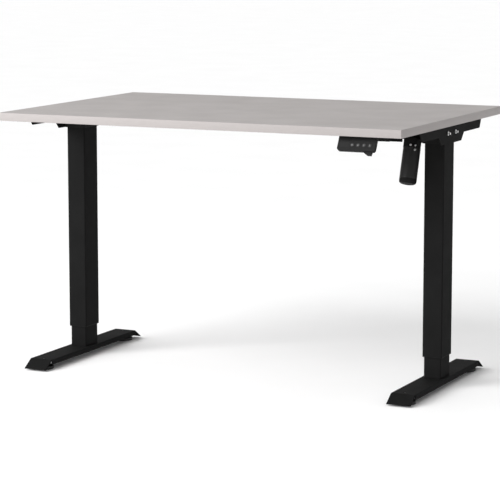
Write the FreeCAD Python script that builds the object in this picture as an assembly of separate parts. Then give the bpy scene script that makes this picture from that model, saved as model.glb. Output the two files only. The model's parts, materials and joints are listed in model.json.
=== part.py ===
import FreeCAD, Part
import math
import os

V = FreeCAD.Vector

# Height adjustable standing desk, in millimetres.
# X runs along the desk, +Y points to its back, +Z is up.
# The origin is on the floor, under the middle of the tabletop, and the desk is at its lowest height.

# ---- tabletop ----
top_width = 1200.0          # along X
top_depth = 800.0           # along Y
top_thickness = 22.0
band_thickness = 1.0        # plastic edge band glued round the board
underside_height = 727.0    # underside of the tabletop above the floor, fully lowered
pilot_depth = 13.0          # pilot holes for the screws in the board

# ---- columns ----
column_inset = 43.0         # column centre from the side edge of the tabletop
outer_width = 57.0          # outer tube, along X
outer_depth = 80.0          # outer tube, along Y
tube_wall = 1.5
tube_corner = 4.0           # outside corner radius of the outer tube
glide_wall = 2.0            # plastic glide between the two tubes
glide_room = 0.1            # glide to outer tube
glide_play = 0.3            # glide to inner tube
glide_length = 60.0
glide_lip = 2.0             # rim of the glide under the end of the outer tube
lowered_gap = 60.8          # inner tube left showing when the desk is down
extended_overlap = 100.0    # tube left inside tube when the desk is up

# ---- feet ----
foot_width = 70.0
foot_length = 512.0         # between the two folds
foot_top = 29.2             # top face above the floor
foot_sheet = 2.5
foot_fold_radius = 6.0      # outside radius of the folds at both ends
foot_edge_spare = 0.5       # sheet left inside the rounding of the long edges
foot_wall_bottom = 14.5     # lower edge of the side walls above the floor
foot_wall_setback = 3.0     # side walls stop short of the folds
toe_reach = 35.7            # end flap, measured along Y from its fold
toe_drop = 22.7             # and down from the top face
pad_radius = 29.0
pad_height = 9.0
pad_round = 2.5
pad_hub_radius = 8.0
pad_hub_height = 3.0
pad_travel = 8.0            # how far each pad can be screwed out
pad_setback = 15.3          # pad centre inside the fold
stud_radius = 4.0
stud_top_gap = 1.0          # end of the stud below the top face of the foot
stud_grip = 4.0             # stud left in its nut when the pad is fully out
foot_nut_radius = 7.0       # nut welded under the foot for each stud
base_plate_thickness = 8.0
base_plate_play = 0.3

# ---- side brackets, one across each column ----
bracket_sheet = 2.5
bracket_length = 486.0
bracket_end_drop = 26.0     # depth of the flange towards its ends
bracket_mid_drop = 48.0     # depth of the flange at the column
bracket_end_slope = 14.0    # run of the slanting end
bracket_mid_half = 78.0     # half length of the deep middle along its lower edge
bracket_mid_slope = 21.0    # run of the slope up to the shallow ends
bracket_fillet = 5.0
bracket_bend_radius = 2.0   # outside radius of the bend between flange and plate
bracket_screw_end = 28.0    # outer screws from the ends
bracket_screw_mid = 42.0    # inner screws from the deep middle

# ---- gear heads, the castings on top of the columns ----
head_side_wall = 7.5
head_end_wall = 8.0
head_half_width = 32.5      # along X
head_half_depth = 46.0      # along Y
head_corner = 3.0
head_plug = 24.0            # part of the casting that sits in the outer tube
head_floor = 2.0
head_room = 15.0            # casting to the top of the inner tube, fully lowered
head_throat_play = 2.5      # casting to the hub of the bevel gear
plug_play = 0.3

# ---- bevel gears, spindles and drive shaft ----
shaft_drop = 25.0           # shaft axis below the underside of the tabletop
shaft_flats = 7.0           # hexagon across flats
shaft_end_inset = 1.0       # left end of the shaft inside the gear head
hex_play = 0.1
bevel_teeth = 16
bevel_reach = 16.0          # large end of each bevel gear from the point where the axes cross
bevel_face = 8.0
bevel_addendum = 5.0        # degrees outside the pitch cone
bevel_dedendum = 6.6        # degrees inside it
bevel_root_share = 0.30     # half width of a tooth at its root, as a share of the pitch
bevel_tip_share = 0.10
bevel_tooth_sink = 0.6      # teeth start this far inside the root cone
bevel_back = 1.0            # large ends rounded off to a ball this far outside the pitch cone
bevel_hub_radius = 8.0
bush_wall = 3.0
bush_length = 6.0
run_play = 0.05             # radial clearance of every turning fit but the bearing
bearing_play = 0.15         # radial clearance of the spindle in its bearing
end_play = 0.5              # turning hubs, along their axes
spindle_radius = 7.0
spindle_tail = 10.0         # spindle left below the nut when the desk is up
spindle_chamfer = 1.0
spindle_end_inset = 1.0     # top of the spindle inside the bevel gear
journal_radius = 6.0        # spindle in its bearing and its gear
bearing_radius = 15.0
bearing_height = 9.0
bearing_inset = 6.0         # bearing above the lower end of the casting
nut_height = 45.0
nut_play = 0.3

# ---- crossbeam ----
channel_half = 38.0
channel_depth = 30.0
channel_sheet = 2.2
channel_half_span = 180.0   # inner end of each channel from the middle of the desk
channel_to_gearbox = 5.0
beam_end_drop = 40.0        # height of the end plate of the left channel
lock_screw_near = 40.0      # screws that lock the rail, from the inner end of each channel
lock_screw_far = 110.0
rail_overlap = 150.0
rail_play = 0.4
rail_depth = 24.0
rail_sheet = 2.0
slot_play = 0.5

# ---- motor and gearbox, places along the motor axis from the point nearest to the shaft ----
motor_lean = 18.5           # degrees from upright, lower end towards the front
motor_to_column = 66.0      # motor axis to the axis of the right column
worm_centres = 22.5         # worm axis to shaft axis
worm_root = 4.6
worm_length = 22.0
worm_inset = 2.0            # worm from the upper end of its shaft
worm_room_radius = 7.6
worm_room_end = 21.0
wheel_teeth = 33
wheel_module = 1.0
wheel_width = 14.0
wheel_dedendum = 1.25       # in modules
wheel_gap_root = 0.14       # half width of a gap at its root, as a share of the pitch
wheel_gap_tip = 0.36
drum_radius = 20.0
drum_cavity = 18.2
drum_length = 48.0
drum_wall = 6.0
cover_play = 0.2            # gearbox cover to the worm case
worm_case_radius = 11.0
worm_case_top = 12.0
worm_case_bottom = 24.0
worm_case_wall = 3.0        # closed upper end
motor_flange = 23.0
motor_flange_lip = 0.5      # flange outside the motor can
motor_flange_flat = 19.5    # flat side of the flange from the motor axis
spigot_play = 0.1
spigot_wall = 3.0
spigot_length = 14.0
gearbox_mount_half = 14.0   # pad between the drum and the motor bracket
gearbox_mount_near = 6.0
gearbox_mount_far = 16.0
gearbox_mount_rise = 10.0
motor_radius = 24.0
motor_wall = 2.0
motor_length = 87.0
motor_cap = 14.0
motor_cap_round = 8.0
motor_shaft_radius = 3.5
motor_shaft_room = 0.5
motor_shaft_tail = 4.0      # shaft that runs in the end cap
motor_shaft_end_gap = 0.5
armature_radius = 11.0
armature_length = 40.0
armature_inset = 25.0       # from the upper end of the can
armature_slots = 7
armature_slot_depth = 4.0
armature_slot_half = 1.0
commutator_radius = 6.5
commutator_length = 12.0
magnet_play = 0.1
magnet_gap = 2.0            # magnets to armature
magnet_overhang = 4.0
magnet_split = 5.0          # half gap between the two magnets
bracket_reach = 124.5       # motor bracket from the right gear head
motor_bracket_drop = 47.0
motor_bracket_play = 0.2
notch_play = 3.0            # opening of the motor bracket to the gearbox
notch_bar = 2.0             # front flange left above the opening

# ---- control box ----
box_length = 140.0
box_width = 92.0
box_height = 36.0
box_wall = 2.5
box_corner = 4.0
box_cover = 3.0             # thickness of the cover
box_ear_length = 14.0
box_ear_half = 9.0
box_from_beam = 20.0
box_past_bracket = 70.0
vent_count = 8
vent_pitch = 8.0
vent_half = 1.5
vent_inset = 30.0           # first vent and the ends of all vents from the walls
inlet_y = 24.0              # mains inlet from the front of the box
inlet_half_y = 14.0
inlet_half_z = 10.0
inlet_depth = 18.0
inlet_wall = 2.0
inlet_pin_half_y = 0.75
inlet_pin_half_z = 1.6
inlet_pin_inset = 7.0       # pins behind the mouth of the inlet
inlet_pin_places = ((-6.0, -1.5), (6.0, -1.5), (0.0, 2.0))
socket_ys = (52.0, 72.0)    # data sockets from the front of the box
socket_half_y = 7.0
socket_half_z = 6.0
socket_depth = 12.0
socket_wall = 1.2
socket_play = 0.1
board_thickness = 1.6
board_edge = 5.0            # control board from the walls
board_behind_sockets = 22.0
board_post_height = 4.0
board_post_half = 2.0
board_post_inset = 4.0      # posts from the edges of the board
transformer_size = (32.0, 30.0, 21.4)
transformer_place = (18.0, 14.0)    # from the right wall and from the front
capacitor_radius = 8.0
capacitor_height = 20.0
capacitor_place = (70.0, 30.0)
heat_sink_size = (60.0, 6.0, 19.4)
heat_sink_place = (30.0, 16.0)      # from the right wall and from the back

# ---- handset ----
handset_width = 106.0
handset_face_height = 41.0
handset_depth = 12.0        # face and body together
handset_lean = 28.0         # degrees, face turned upwards
handset_from_side = 74.0    # right end of the handset from the side edge
handset_setback = 1.0       # lower front edge behind the front edge of the tabletop
handset_gap = 0.3           # upper edge of the face to the tabletop
handset_corner = 7.0        # lower corners
handset_wall = 2.5
handset_floor = 2.0
handset_back_round = 2.0
face_thickness = 3.0
face_round = 0.8
handset_ear = 4.0           # thickness of the mounting plate
handset_mount_depth = 36.0
handset_mount_half = 46.0
handset_rib_half = 30.0     # rib between the body and the mounting plate
handset_rib_short = 18.0    # rib ends this far in front of the plate
handset_rib_grip = 24.0     # length of the rib down the back of the body
handset_screw_half = 38.0
handset_screw_edge = 9.0
handset_board_play = 1.5
handset_board_thickness = 1.6
handset_post_radius = 2.0
handset_post_inset = 12.0   # from the ends, and from the upper and lower edges
lug_outline = ((20.0, 6.0), (21.0, -1.0), (31.0, -8.0), (43.0, -9.0), (45.0, 6.0))
lug_thickness = 8.0
window_inset = 6.0          # window from the left end of the handset
window_width = 29.0
window_half = 10.0
window_level = -2.0         # above the middle of the face
window_depth = 1.2
window_sink = 0.05
window_play = 0.1
button_count = 4
button_pitch = 16.4
button_first = 41.0         # first button from the left end of the handset
button_level = -4.5         # above the middle of the face
button_radius = 5.0
button_height = 0.6
button_round = 0.5
button_play = 0.25
button_travel = 0.8
switch_radius = 2.0
switch_height = 1.2
switch_gap = 0.2            # button to switch when it is pressed

# ---- fasteners ----
wood_screw_radius = 2.0
wood_screw_bite = 11.5      # length of screw in the board
wood_head_radius = 4.5
wood_head_height = 2.5
wood_head_round = 1.0
wood_hole_play = 0.5
frame_screw_radius = 3.0
frame_screw_length = 9.5
lock_screw_length = 6.0
frame_screw_y = 30.0
frame_screw_drop = 19.5     # below the underside of the tabletop
frame_head_radius = 5.5
frame_head_height = 3.4
frame_head_round = 2.2
frame_socket_radius = 1.9
frame_socket_depth = 1.8
frame_hole_play = 0.4
screw_play = 0.05
tap_spare = 0.2             # tapped holes deeper than their screws
foot_bolt_radius = 4.0
foot_bolt_head = 6.5
foot_bolt_head_height = 6.0
foot_bolt_end_gap = 0.5
foot_bolt_socket = 3.0
foot_bolt_socket_depth = 3.5
foot_bolt_x = 13.0
foot_bolt_y = 24.0
gearbox_screw_angles = (9.0, 41.0)  # degrees from the front of the motor towards +X
gearbox_screw_inset = 3.0   # above the joint between flange and can
gearbox_screw_lap = 9.0     # below it, through the can
gearbox_screw_radius = 1.5
gearbox_screw_length = 6.0
gearbox_screw_hole_play = 0.2
gearbox_head_radius = 2.6
gearbox_head_height = 2.0
gearbox_head_round = 1.2

margin = 1.0                # how far a cutting tool runs past the faces it cuts

# ---- levels and places worked out from the sizes above ----
column_x = top_width / 2 - column_inset
head_top = underside_height - bracket_sheet
head_bottom = underside_height - bracket_mid_drop
plug_bottom = head_bottom - head_plug
inner_top = plug_bottom - head_room
outer_bottom = foot_top + lowered_gap
lift_stroke = inner_top - outer_bottom - extended_overlap
shaft_z = underside_height - shaft_drop
inner_width = outer_width - 2 * tube_wall - 2 * glide_wall
inner_depth = outer_depth - 2 * tube_wall - 2 * glide_wall
nut_bottom = inner_top - nut_height
spindle_bottom = nut_bottom - lift_stroke - spindle_tail
spindle_top = shaft_z - (bevel_reach - bevel_face) - spindle_end_inset
bearing_bottom = plug_bottom + bearing_inset
head_inboard = column_x - head_half_width
flange_inner = column_x + head_half_width
bracket_plate_width = 2 * head_half_width + bracket_sheet
hub_bore = bevel_hub_radius + run_play
bush_radius = bevel_hub_radius + bush_wall
motor_x = column_x - motor_to_column
drum_start = motor_x - drum_length / 2
drum_end = motor_x + drum_length / 2
can_start = worm_case_bottom + motor_flange
can_end = can_start + motor_length
can_bore = motor_radius - motor_wall
flange_radius = motor_radius + motor_flange_lip
armature_start = can_start + armature_inset
wheel_pitch = wheel_teeth * wheel_module / 2
motor_bracket_x = head_inboard - bracket_reach
frame_screw_z = underside_height - frame_screw_drop
foot_under = foot_top - foot_sheet
foot_nut_height = pad_travel + stud_grip
pad_y = foot_length / 2 - pad_setback
beam_front = -channel_half - bracket_sheet
handset_x = top_width / 2 - handset_from_side - handset_width / 2
handset_half = handset_face_height / 2
switch_top = -face_thickness - button_travel - switch_gap


def box(x0, x1, y0, y1, z0, z1):
    return Part.makeBox(x1 - x0, y1 - y0, z1 - z0, V(x0, y0, z0))


def rod(radius, start, direction, length):
    return Part.makeCylinder(radius, length, V(*start), V(*direction))


def through(radius, start, direction, thickness):
    """A cutting rod that runs past both faces of a wall; it starts on one of them."""
    begin = V(*start) - V(*direction) * margin
    return Part.makeCylinder(radius, thickness + 2 * margin, begin, V(*direction))


def ring(outer, inner, start, direction, length):
    return rod(outer, start, direction, length).cut(rod(inner, start, direction, length))


def fuse(shapes):
    whole = shapes[0]
    for shape in shapes[1:]:
        whole = whole.fuse(shape)
    return whole.removeSplitter()


def cut(shape, tools):
    for tool in tools:
        shape = shape.cut(tool)
    return shape


def turned(shape, axis, degrees):
    copy = shape.copy()
    copy.rotate(V(0, 0, 0), V(*axis), degrees)
    return copy


def moved(shape, x, y, z):
    copy = shape.copy()
    copy.translate(V(x, y, z))
    return copy


def outline(points):
    """A closed flat wire through the points."""
    return Part.makePolygon([V(*point) for point in points] + [V(*points[0])])


def slab(points, direction):
    return Part.Face(outline(points)).extrude(V(*direction))


def edges_along(shape, direction):
    return [edge for edge in shape.Edges if abs(edge.tangentAt(0).dot(V(*direction))) > 0.9]


def round_edges(shape, level):
    """The circular edges of an upright turned shape at one height."""
    return [edge for edge in shape.Edges if edge.Closed and abs(edge.CenterOfMass.z - level) < 0.01]


def rounded_bar(width, depth, corner, x, z0, z1):
    """An upright bar with rounded corners, centred on (x, 0)."""
    bar = box(x - width / 2, x + width / 2, -depth / 2, depth / 2, z0, z1)
    return bar.makeFillet(corner, edges_along(bar, (0, 0, 1)))


def rounded_tube(width, depth, wall, corner, x, z0, z1):
    outside = rounded_bar(width, depth, corner, x, z0, z1)
    inside = rounded_bar(width - 2 * wall, depth - 2 * wall, corner - wall, x, z0, z1)
    return outside.cut(inside)


def hexagon(flats, start, length):
    """A hexagonal bar along +X."""
    corner = flats / math.sqrt(3)
    x, y, z = start
    points = []
    for step in range(6):
        angle = math.radians(60 * step)
        points.append((x, y + corner * math.cos(angle), z + corner * math.sin(angle)))
    return slab(points, (length, 0, 0))


def channel(x0, x1, half, top, depth, sheet):
    """A channel along X, open downwards."""
    outside = box(x0, x1, -half, half, top - depth, top)
    return outside.cut(box(x0, x1, -half + sheet, half - sheet, top - depth, top - sheet))


def beside(shape, side):
    """The shape itself on the right, or its mirror image on the left."""
    if side > 0:
        return shape
    return shape.mirror(V(0, 0, 0), V(1, 0, 0))


# ---------------------------------------------------------------- tabletop

def bracket_screw_places():
    end = bracket_length / 2 - bracket_screw_end
    middle = bracket_mid_half + bracket_screw_mid
    return [(side * column_x, y) for side in (-1, 1) for y in (-end, -middle, middle, end)]


def handset_screw_places():
    y = handset_mount_front() + handset_mount_depth - handset_screw_edge
    return [(handset_x - handset_screw_half, y), (handset_x + handset_screw_half, y)]


def box_screw_places():
    x0, x1, y0, y1 = control_box_plan()
    middle = (y0 + y1) / 2
    return [(x0 - box_ear_length / 2, middle), (x1 + box_ear_length / 2, middle)]


def tabletop_board():
    half_x = top_width / 2 - band_thickness
    half_y = top_depth / 2 - band_thickness
    board = box(-half_x, half_x, -half_y, half_y, underside_height, underside_height + top_thickness)
    pilot = wood_screw_radius + screw_play
    start = underside_height - margin
    places = bracket_screw_places() + handset_screw_places() + box_screw_places()
    pilots = [rod(pilot, (x, y, start), (0, 0, 1), pilot_depth + margin) for x, y in places]
    return cut(board, pilots)


def edge_banding():
    top = underside_height + top_thickness
    half_x = top_width / 2
    half_y = top_depth / 2
    strips = []
    for side in (-1, 1):
        y0, y1 = sorted((side * half_y, side * (half_y - band_thickness)))
        strips.append(box(-half_x, half_x, y0, y1, underside_height, top))
        x0, x1 = sorted((side * half_x, side * (half_x - band_thickness)))
        strips.append(box(x0, x1, -half_y + band_thickness, half_y - band_thickness, underside_height, top))
    return Part.makeCompound(strips)


def wood_screw(x, y, sheet):
    """A pan head screw driven up into the board through a sheet of the given thickness."""
    seat = underside_height - sheet
    head = rod(wood_head_radius, (x, y, seat - wood_head_height), (0, 0, 1), wood_head_height)
    head = head.makeFillet(wood_head_round, round_edges(head, seat - wood_head_height))
    shank = rod(wood_screw_radius, (x, y, seat), (0, 0, 1), sheet + wood_screw_bite)
    return fuse([head, shank])


def tabletop_screws():
    screws = [wood_screw(x, y, bracket_sheet) for x, y in bracket_screw_places()]
    screws += [wood_screw(x, y, handset_ear) for x, y in handset_screw_places()]
    screws += [wood_screw(x, y, box_cover) for x, y in box_screw_places()]
    return Part.makeCompound(screws)


# ---------------------------------------------------------------- side brackets

def side_bracket(side):
    half = bracket_length / 2
    top = underside_height
    shallow = top - bracket_end_drop
    deep = top - bracket_mid_drop
    half_outline = [(half, top), (half - bracket_end_slope, shallow),
                    (bracket_mid_half + bracket_mid_slope, shallow), (bracket_mid_half, deep)]
    points = [(flange_inner, y, z) for y, z in half_outline]
    points += [(flange_inner, -y, z) for y, z in reversed(half_outline)]
    flange = slab(points, (bracket_sheet, 0, 0))
    corners = [edge for edge in edges_along(flange, (1, 0, 0)) if edge.CenterOfMass.z < shallow + margin]
    flange = flange.makeFillet(bracket_fillet, corners)
    outside = flange_inner + bracket_sheet
    plate = box(outside - bracket_plate_width, outside, -half, half, top - bracket_sheet, top)
    bracket = flange.fuse(plate).removeSplitter()
    bend = []
    for edge in edges_along(bracket, (0, 1, 0)):
        middle = edge.CenterOfMass
        if abs(middle.z - top) < 0.01 and abs(middle.x - outside) < 0.01:
            bend.append(edge)
    bracket = bracket.makeFillet(bracket_bend_radius, bend)
    holes = []
    for x, y in bracket_screw_places():
        if x > 0:
            seat = (x, y, top - bracket_sheet)
            holes.append(through(wood_screw_radius + wood_hole_play, seat, (0, 0, 1), bracket_sheet))
    for y in (-frame_screw_y, frame_screw_y):
        seat = (flange_inner, y, frame_screw_z)
        holes.append(through(frame_screw_radius + frame_hole_play, seat, (1, 0, 0), bracket_sheet))
    return beside(cut(bracket, holes), side)


# ---------------------------------------------------------------- columns

def outer_tube(side):
    tube = rounded_tube(outer_width, outer_depth, tube_wall, tube_corner, column_x, outer_bottom, head_bottom)
    return beside(tube, side)


def inner_tube(side):
    tube = rounded_tube(inner_width, inner_depth, tube_wall, tube_corner, column_x, foot_top, inner_top)
    return beside(tube, side)


def glide(side):
    """Plastic sleeve that guides the inner tube, with a rim that closes the end of the outer tube."""
    width = outer_width - 2 * tube_wall - 2 * glide_room
    depth = outer_depth - 2 * tube_wall - 2 * glide_room
    top = outer_bottom + glide_length
    bottom = outer_bottom - glide_lip
    sleeve = rounded_bar(width, depth, tube_corner - tube_wall, column_x, outer_bottom, top)
    rim = rounded_bar(outer_width, outer_depth, tube_corner, column_x, bottom, outer_bottom)
    bore = rounded_bar(inner_width + 2 * glide_play, inner_depth + 2 * glide_play, tube_corner + glide_play,
                       column_x, bottom, top)
    return beside(sleeve.fuse(rim).removeSplitter().cut(bore), side)


def gear_head(side):
    """Casting with the bevel gears; both columns have the same one, so the left one is not mirrored."""
    x = side * column_x
    block = box(x - head_half_width, x + head_half_width, -head_half_depth, head_half_depth,
                head_bottom, head_top)
    block = block.makeFillet(head_corner, edges_along(block, (0, 0, 1)))
    plug_width = outer_width - 2 * tube_wall - 2 * plug_play
    plug_depth = outer_depth - 2 * tube_wall - 2 * plug_play
    plug = rounded_bar(plug_width, plug_depth, tube_corner - tube_wall, x, plug_bottom, head_bottom)
    inner_x = head_half_width - head_side_wall
    inner_y = head_half_depth - head_end_wall
    floor = head_bottom + head_floor
    seat_height = bearing_bottom + bearing_height - plug_bottom
    cuts = [box(x - inner_x, x + inner_x, -inner_y, inner_y, floor, head_top)]
    cuts.append(rod(bearing_radius + run_play, (x, 0, plug_bottom), (0, 0, 1), seat_height))
    throat = bevel_hub_radius + head_throat_play
    cuts.append(through(throat, (x, 0, plug_bottom), (0, 0, 1), floor - plug_bottom))
    cuts.append(rod(bush_radius + run_play, (x - head_half_width, 0, shaft_z), (1, 0, 0), head_side_wall))
    cuts.append(rod(shaft_flats, (x + inner_x, 0, shaft_z), (1, 0, 0), head_side_wall))
    depth = frame_screw_length - bracket_sheet + tap_spare
    tap = frame_screw_radius + screw_play
    for y in (-frame_screw_y, frame_screw_y):
        cuts.append(rod(tap, (x + head_half_width, y, frame_screw_z), (-1, 0, 0), depth))
        cuts.append(rod(tap, (x - head_half_width, y, frame_screw_z), (1, 0, 0), depth))
    return cut(fuse([block, plug]), cuts)


def spindle_bearings():
    rings = []
    for side in (-1, 1):
        start = (side * column_x, 0, bearing_bottom)
        rings.append(ring(bearing_radius, journal_radius + bearing_play, start, (0, 0, 1), bearing_height))
    return Part.makeCompound(rings)


def spindle(side):
    """Plain rod in place of a threaded one, turned down where the bearing and the gear sit."""
    x = side * column_x
    body = rod(spindle_radius, (x, 0, spindle_bottom), (0, 0, 1), bearing_bottom - spindle_bottom)
    journal = rod(journal_radius, (x, 0, bearing_bottom), (0, 0, 1), spindle_top - bearing_bottom)
    whole = fuse([body, journal])
    ends = round_edges(whole, spindle_bottom) + round_edges(whole, spindle_top)
    return whole.makeChamfer(spindle_chamfer, ends)


def spindle_nut(side):
    """Nut block that fills the top of the inner tube."""
    width = inner_width - 2 * tube_wall - 2 * nut_play
    depth = inner_depth - 2 * tube_wall - 2 * nut_play
    block = rounded_bar(width, depth, tube_corner - tube_wall, column_x, nut_bottom, inner_top)
    bore = rod(spindle_radius + run_play, (column_x, 0, nut_bottom), (0, 0, 1), nut_height)
    return beside(block.cut(bore), side)


# ---------------------------------------------------------------- bevel gears and drive shaft

def bevel_blank():
    """A straight bevel gear whose cone has its tip at the origin; it lies on the -Z side."""
    tip = bevel_reach * math.tan(math.radians(45 + bevel_addendum))
    root = bevel_reach * math.tan(math.radians(45 - bevel_dedendum))
    shrink = (bevel_reach - bevel_face) / bevel_reach
    pitch = 360.0 / bevel_teeth
    half_root = bevel_root_share * pitch
    half_tip = bevel_tip_share * pitch
    low = root - bevel_tooth_sink
    corners = [(low, -half_root), (tip, -half_tip), (tip, half_tip), (low, half_root)]
    teeth = []
    for tooth in range(bevel_teeth):
        wires = []
        for scale in (1.0, shrink):
            points = []
            for radius, offset in corners:
                angle = math.radians(tooth * pitch + offset)
                points.append((scale * radius * math.cos(angle), scale * radius * math.sin(angle),
                               -scale * bevel_reach))
            wires.append(outline(points))
        teeth.append(Part.makeLoft(wires, True, True))
    core = Part.makeCone(root, root * shrink, bevel_face, V(0, 0, -bevel_reach), V(0, 0, 1))
    gear = core.multiFuse(teeth).removeSplitter()
    return gear.common(Part.makeSphere(bevel_reach * math.sqrt(2) + bevel_back))


def bevel_gear(side):
    x = side * column_x
    hub_bottom = bearing_bottom + bearing_height + end_play
    gear = moved(bevel_blank(), x, 0, shaft_z)
    hub = rod(bevel_hub_radius, (x, 0, hub_bottom), (0, 0, 1), shaft_z - bevel_reach - hub_bottom)
    bore = rod(journal_radius, (x, 0, hub_bottom), (0, 0, 1), shaft_z - hub_bottom)
    return fuse([gear, hub]).cut(bore)


def bevel_pinions():
    """The two pinions; each is half a tooth out of step with its gear, so that they mesh."""
    blank = turned(bevel_blank(), (0, 0, 1), 180.0 / bevel_teeth)
    blank = turned(blank, (0, 1, 0), 90)
    pinions = []
    for side in (-1, 1):
        x = side * column_x
        start = (x - head_half_width, 0, shaft_z)
        gear = moved(blank, x, 0, shaft_z)
        hub = rod(bevel_hub_radius, start, (1, 0, 0), head_half_width - bevel_reach)
        bore = hexagon(shaft_flats + hex_play, start, head_half_width)
        pinions.append(fuse([gear, hub]).cut(bore))
    return Part.makeCompound(pinions)


def hex_shaft():
    start = -column_x - head_half_width + shaft_end_inset
    end = column_x - (bevel_reach - bevel_face)
    return hexagon(shaft_flats, (start, 0, shaft_z), end - start)


def shaft_bushes():
    """Four equal bushes: one in each gear head and two in the gearbox."""
    inset = (head_side_wall - bush_length) / 2
    places = [side * column_x - head_half_width + inset for side in (-1, 1)]
    places += [drum_start, drum_end - bush_length]
    bushes = [ring(bush_radius, hub_bore, (x, 0, shaft_z), (1, 0, 0), bush_length) for x in places]
    return Part.makeCompound(bushes)


# ---------------------------------------------------------------- crossbeam

def lock_screw_places(side):
    return [side * (channel_half_span + lock_screw_near), side * (channel_half_span + lock_screw_far)]


def end_plate_holes(x):
    """Holes for the drive shaft and two screws in a plate that starts at x and lies against a gear head."""
    holes = [through(bush_radius, (x, 0, shaft_z), (1, 0, 0), bracket_sheet)]
    for y in (-frame_screw_y, frame_screw_y):
        seat = (x, y, frame_screw_z)
        holes.append(through(frame_screw_radius + frame_hole_play, seat, (1, 0, 0), bracket_sheet))
    return holes


def beam_channel(side):
    """Folded channel; the left one has an end plate on the gear head, the right one ends at the gearbox."""
    if side < 0:
        x0 = -head_inboard
        body = channel(x0, -channel_half_span, channel_half, head_top, channel_depth, channel_sheet)
        low = head_top - beam_end_drop
        end = box(x0, x0 + bracket_sheet, -channel_half, channel_half, low, head_top)
        body = fuse([body, end])
        holes = end_plate_holes(x0)
    else:
        body = channel(channel_half_span, drum_start - channel_to_gearbox, channel_half,
                       head_top - bracket_sheet, channel_depth - bracket_sheet, channel_sheet)
        holes = []
    for x in lock_screw_places(side):
        seat = (x, -channel_half, frame_screw_z)
        holes.append(through(frame_screw_radius + frame_hole_play, seat, (0, 1, 0), 2 * channel_half))
    return cut(body, holes)


def beam_slide_rail():
    """Channel inside the other two; its slots let the frame be set to the width of a tabletop."""
    half = channel_half - channel_sheet - rail_play
    reach = channel_half_span + rail_overlap
    top = head_top - bracket_sheet - channel_sheet - rail_play
    rail = channel(-reach, reach, half, top, rail_depth, rail_sheet)
    radius = frame_screw_radius + slot_play
    wide = half + margin
    slots = []
    for side in (-1, 1):
        near, far = sorted(lock_screw_places(side))
        slots.append(box(near, far, -wide, wide, frame_screw_z - radius, frame_screw_z + radius))
        for x in (near, far):
            slots.append(rod(radius, (x, -wide, frame_screw_z), (0, 1, 0), 2 * wide))
    return cut(rail, slots)


def motor_bracket():
    """Folded bracket over the end of the right channel; the motor hangs from it beside the gear head."""
    x1 = head_inboard
    half = channel_half + bracket_sheet + motor_bracket_play
    top = underside_height
    low = top - motor_bracket_drop
    body = channel(motor_bracket_x, x1, half, top, motor_bracket_drop, bracket_sheet)
    end = box(x1 - bracket_sheet, x1, -half, half, low, top)
    notch = box(drum_start - notch_play, motor_x + flange_radius + notch_play,
                -half - margin, -half + bracket_sheet + margin, low - margin, top - bracket_sheet - notch_bar)
    return cut(fuse([body, end]), [notch] + end_plate_holes(x1 - bracket_sheet))


def frame_screw(start, direction, length):
    """A round head machine screw; start is the face under the head, direction the way it is driven."""
    back = V(*start) - V(*direction) * frame_head_height
    head = rod(frame_head_radius, back, direction, frame_head_height)
    crown = [edge for edge in head.Edges if edge.Closed and edge.CenterOfMass.distanceToPoint(back) < 0.1]
    head = head.makeFillet(frame_head_round, crown)
    shank = rod(frame_screw_radius, start, direction, length)
    socket = rod(frame_socket_radius, back, direction, frame_socket_depth)
    return fuse([head, shank]).cut(socket)


def frame_screws():
    """Screws that hold the side brackets and the crossbeam to the gear heads, and lock the crossbeam."""
    screws = []
    for y in (-frame_screw_y, frame_screw_y):
        for side in (-1, 1):
            outside = (side * (flange_inner + bracket_sheet), y, frame_screw_z)
            inside = (side * (head_inboard - bracket_sheet), y, frame_screw_z)
            screws.append(frame_screw(outside, (-side, 0, 0), frame_screw_length))
            screws.append(frame_screw(inside, (side, 0, 0), frame_screw_length))
    for side in (-1, 1):
        for x in lock_screw_places(side):
            for face in (-1, 1):
                seat = (x, face * channel_half, frame_screw_z)
                screws.append(frame_screw(seat, (0, -face, 0), lock_screw_length))
    return Part.makeCompound(screws)


# ---------------------------------------------------------------- gearbox and motor

def on_motor_axis(shape):
    """Places a shape that was built round its own +Z axis on the leaning motor axis, +Z downwards.

    Its zero is the point of the worm axis nearest to the drive shaft, and +Y is the front."""
    lean = math.radians(motor_lean)
    placed = turned(shape, (1, 0, 0), 180 - motor_lean)
    return moved(placed, motor_x, -worm_centres * math.cos(lean), shaft_z + worm_centres * math.sin(lean))


def motor_rod(radius, start, end):
    return rod(radius, (0, 0, start), (0, 0, 1), end - start)


def motor_ring(outer, inner, start, end):
    return motor_rod(outer, start, end).cut(motor_rod(inner, start, end))


def across_motor(radius, angle, place, inner, outer):
    """A rod square to the motor axis: its angle from the front, its place along the axis and its two ends."""
    stub = rod(radius, (0, inner, place), (0, 1, 0), outer - inner)
    return on_motor_axis(turned(stub, (0, 0, 1), -angle))


def gearbox_screw_places():
    """Angle from the front, place along the motor axis and radius of the surface under each head."""
    near = can_start - gearbox_screw_inset
    far = can_start + gearbox_screw_lap
    first, second = gearbox_screw_angles
    return [(first, near, flange_radius), (second, near, flange_radius), (second, far, motor_radius)]


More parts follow.
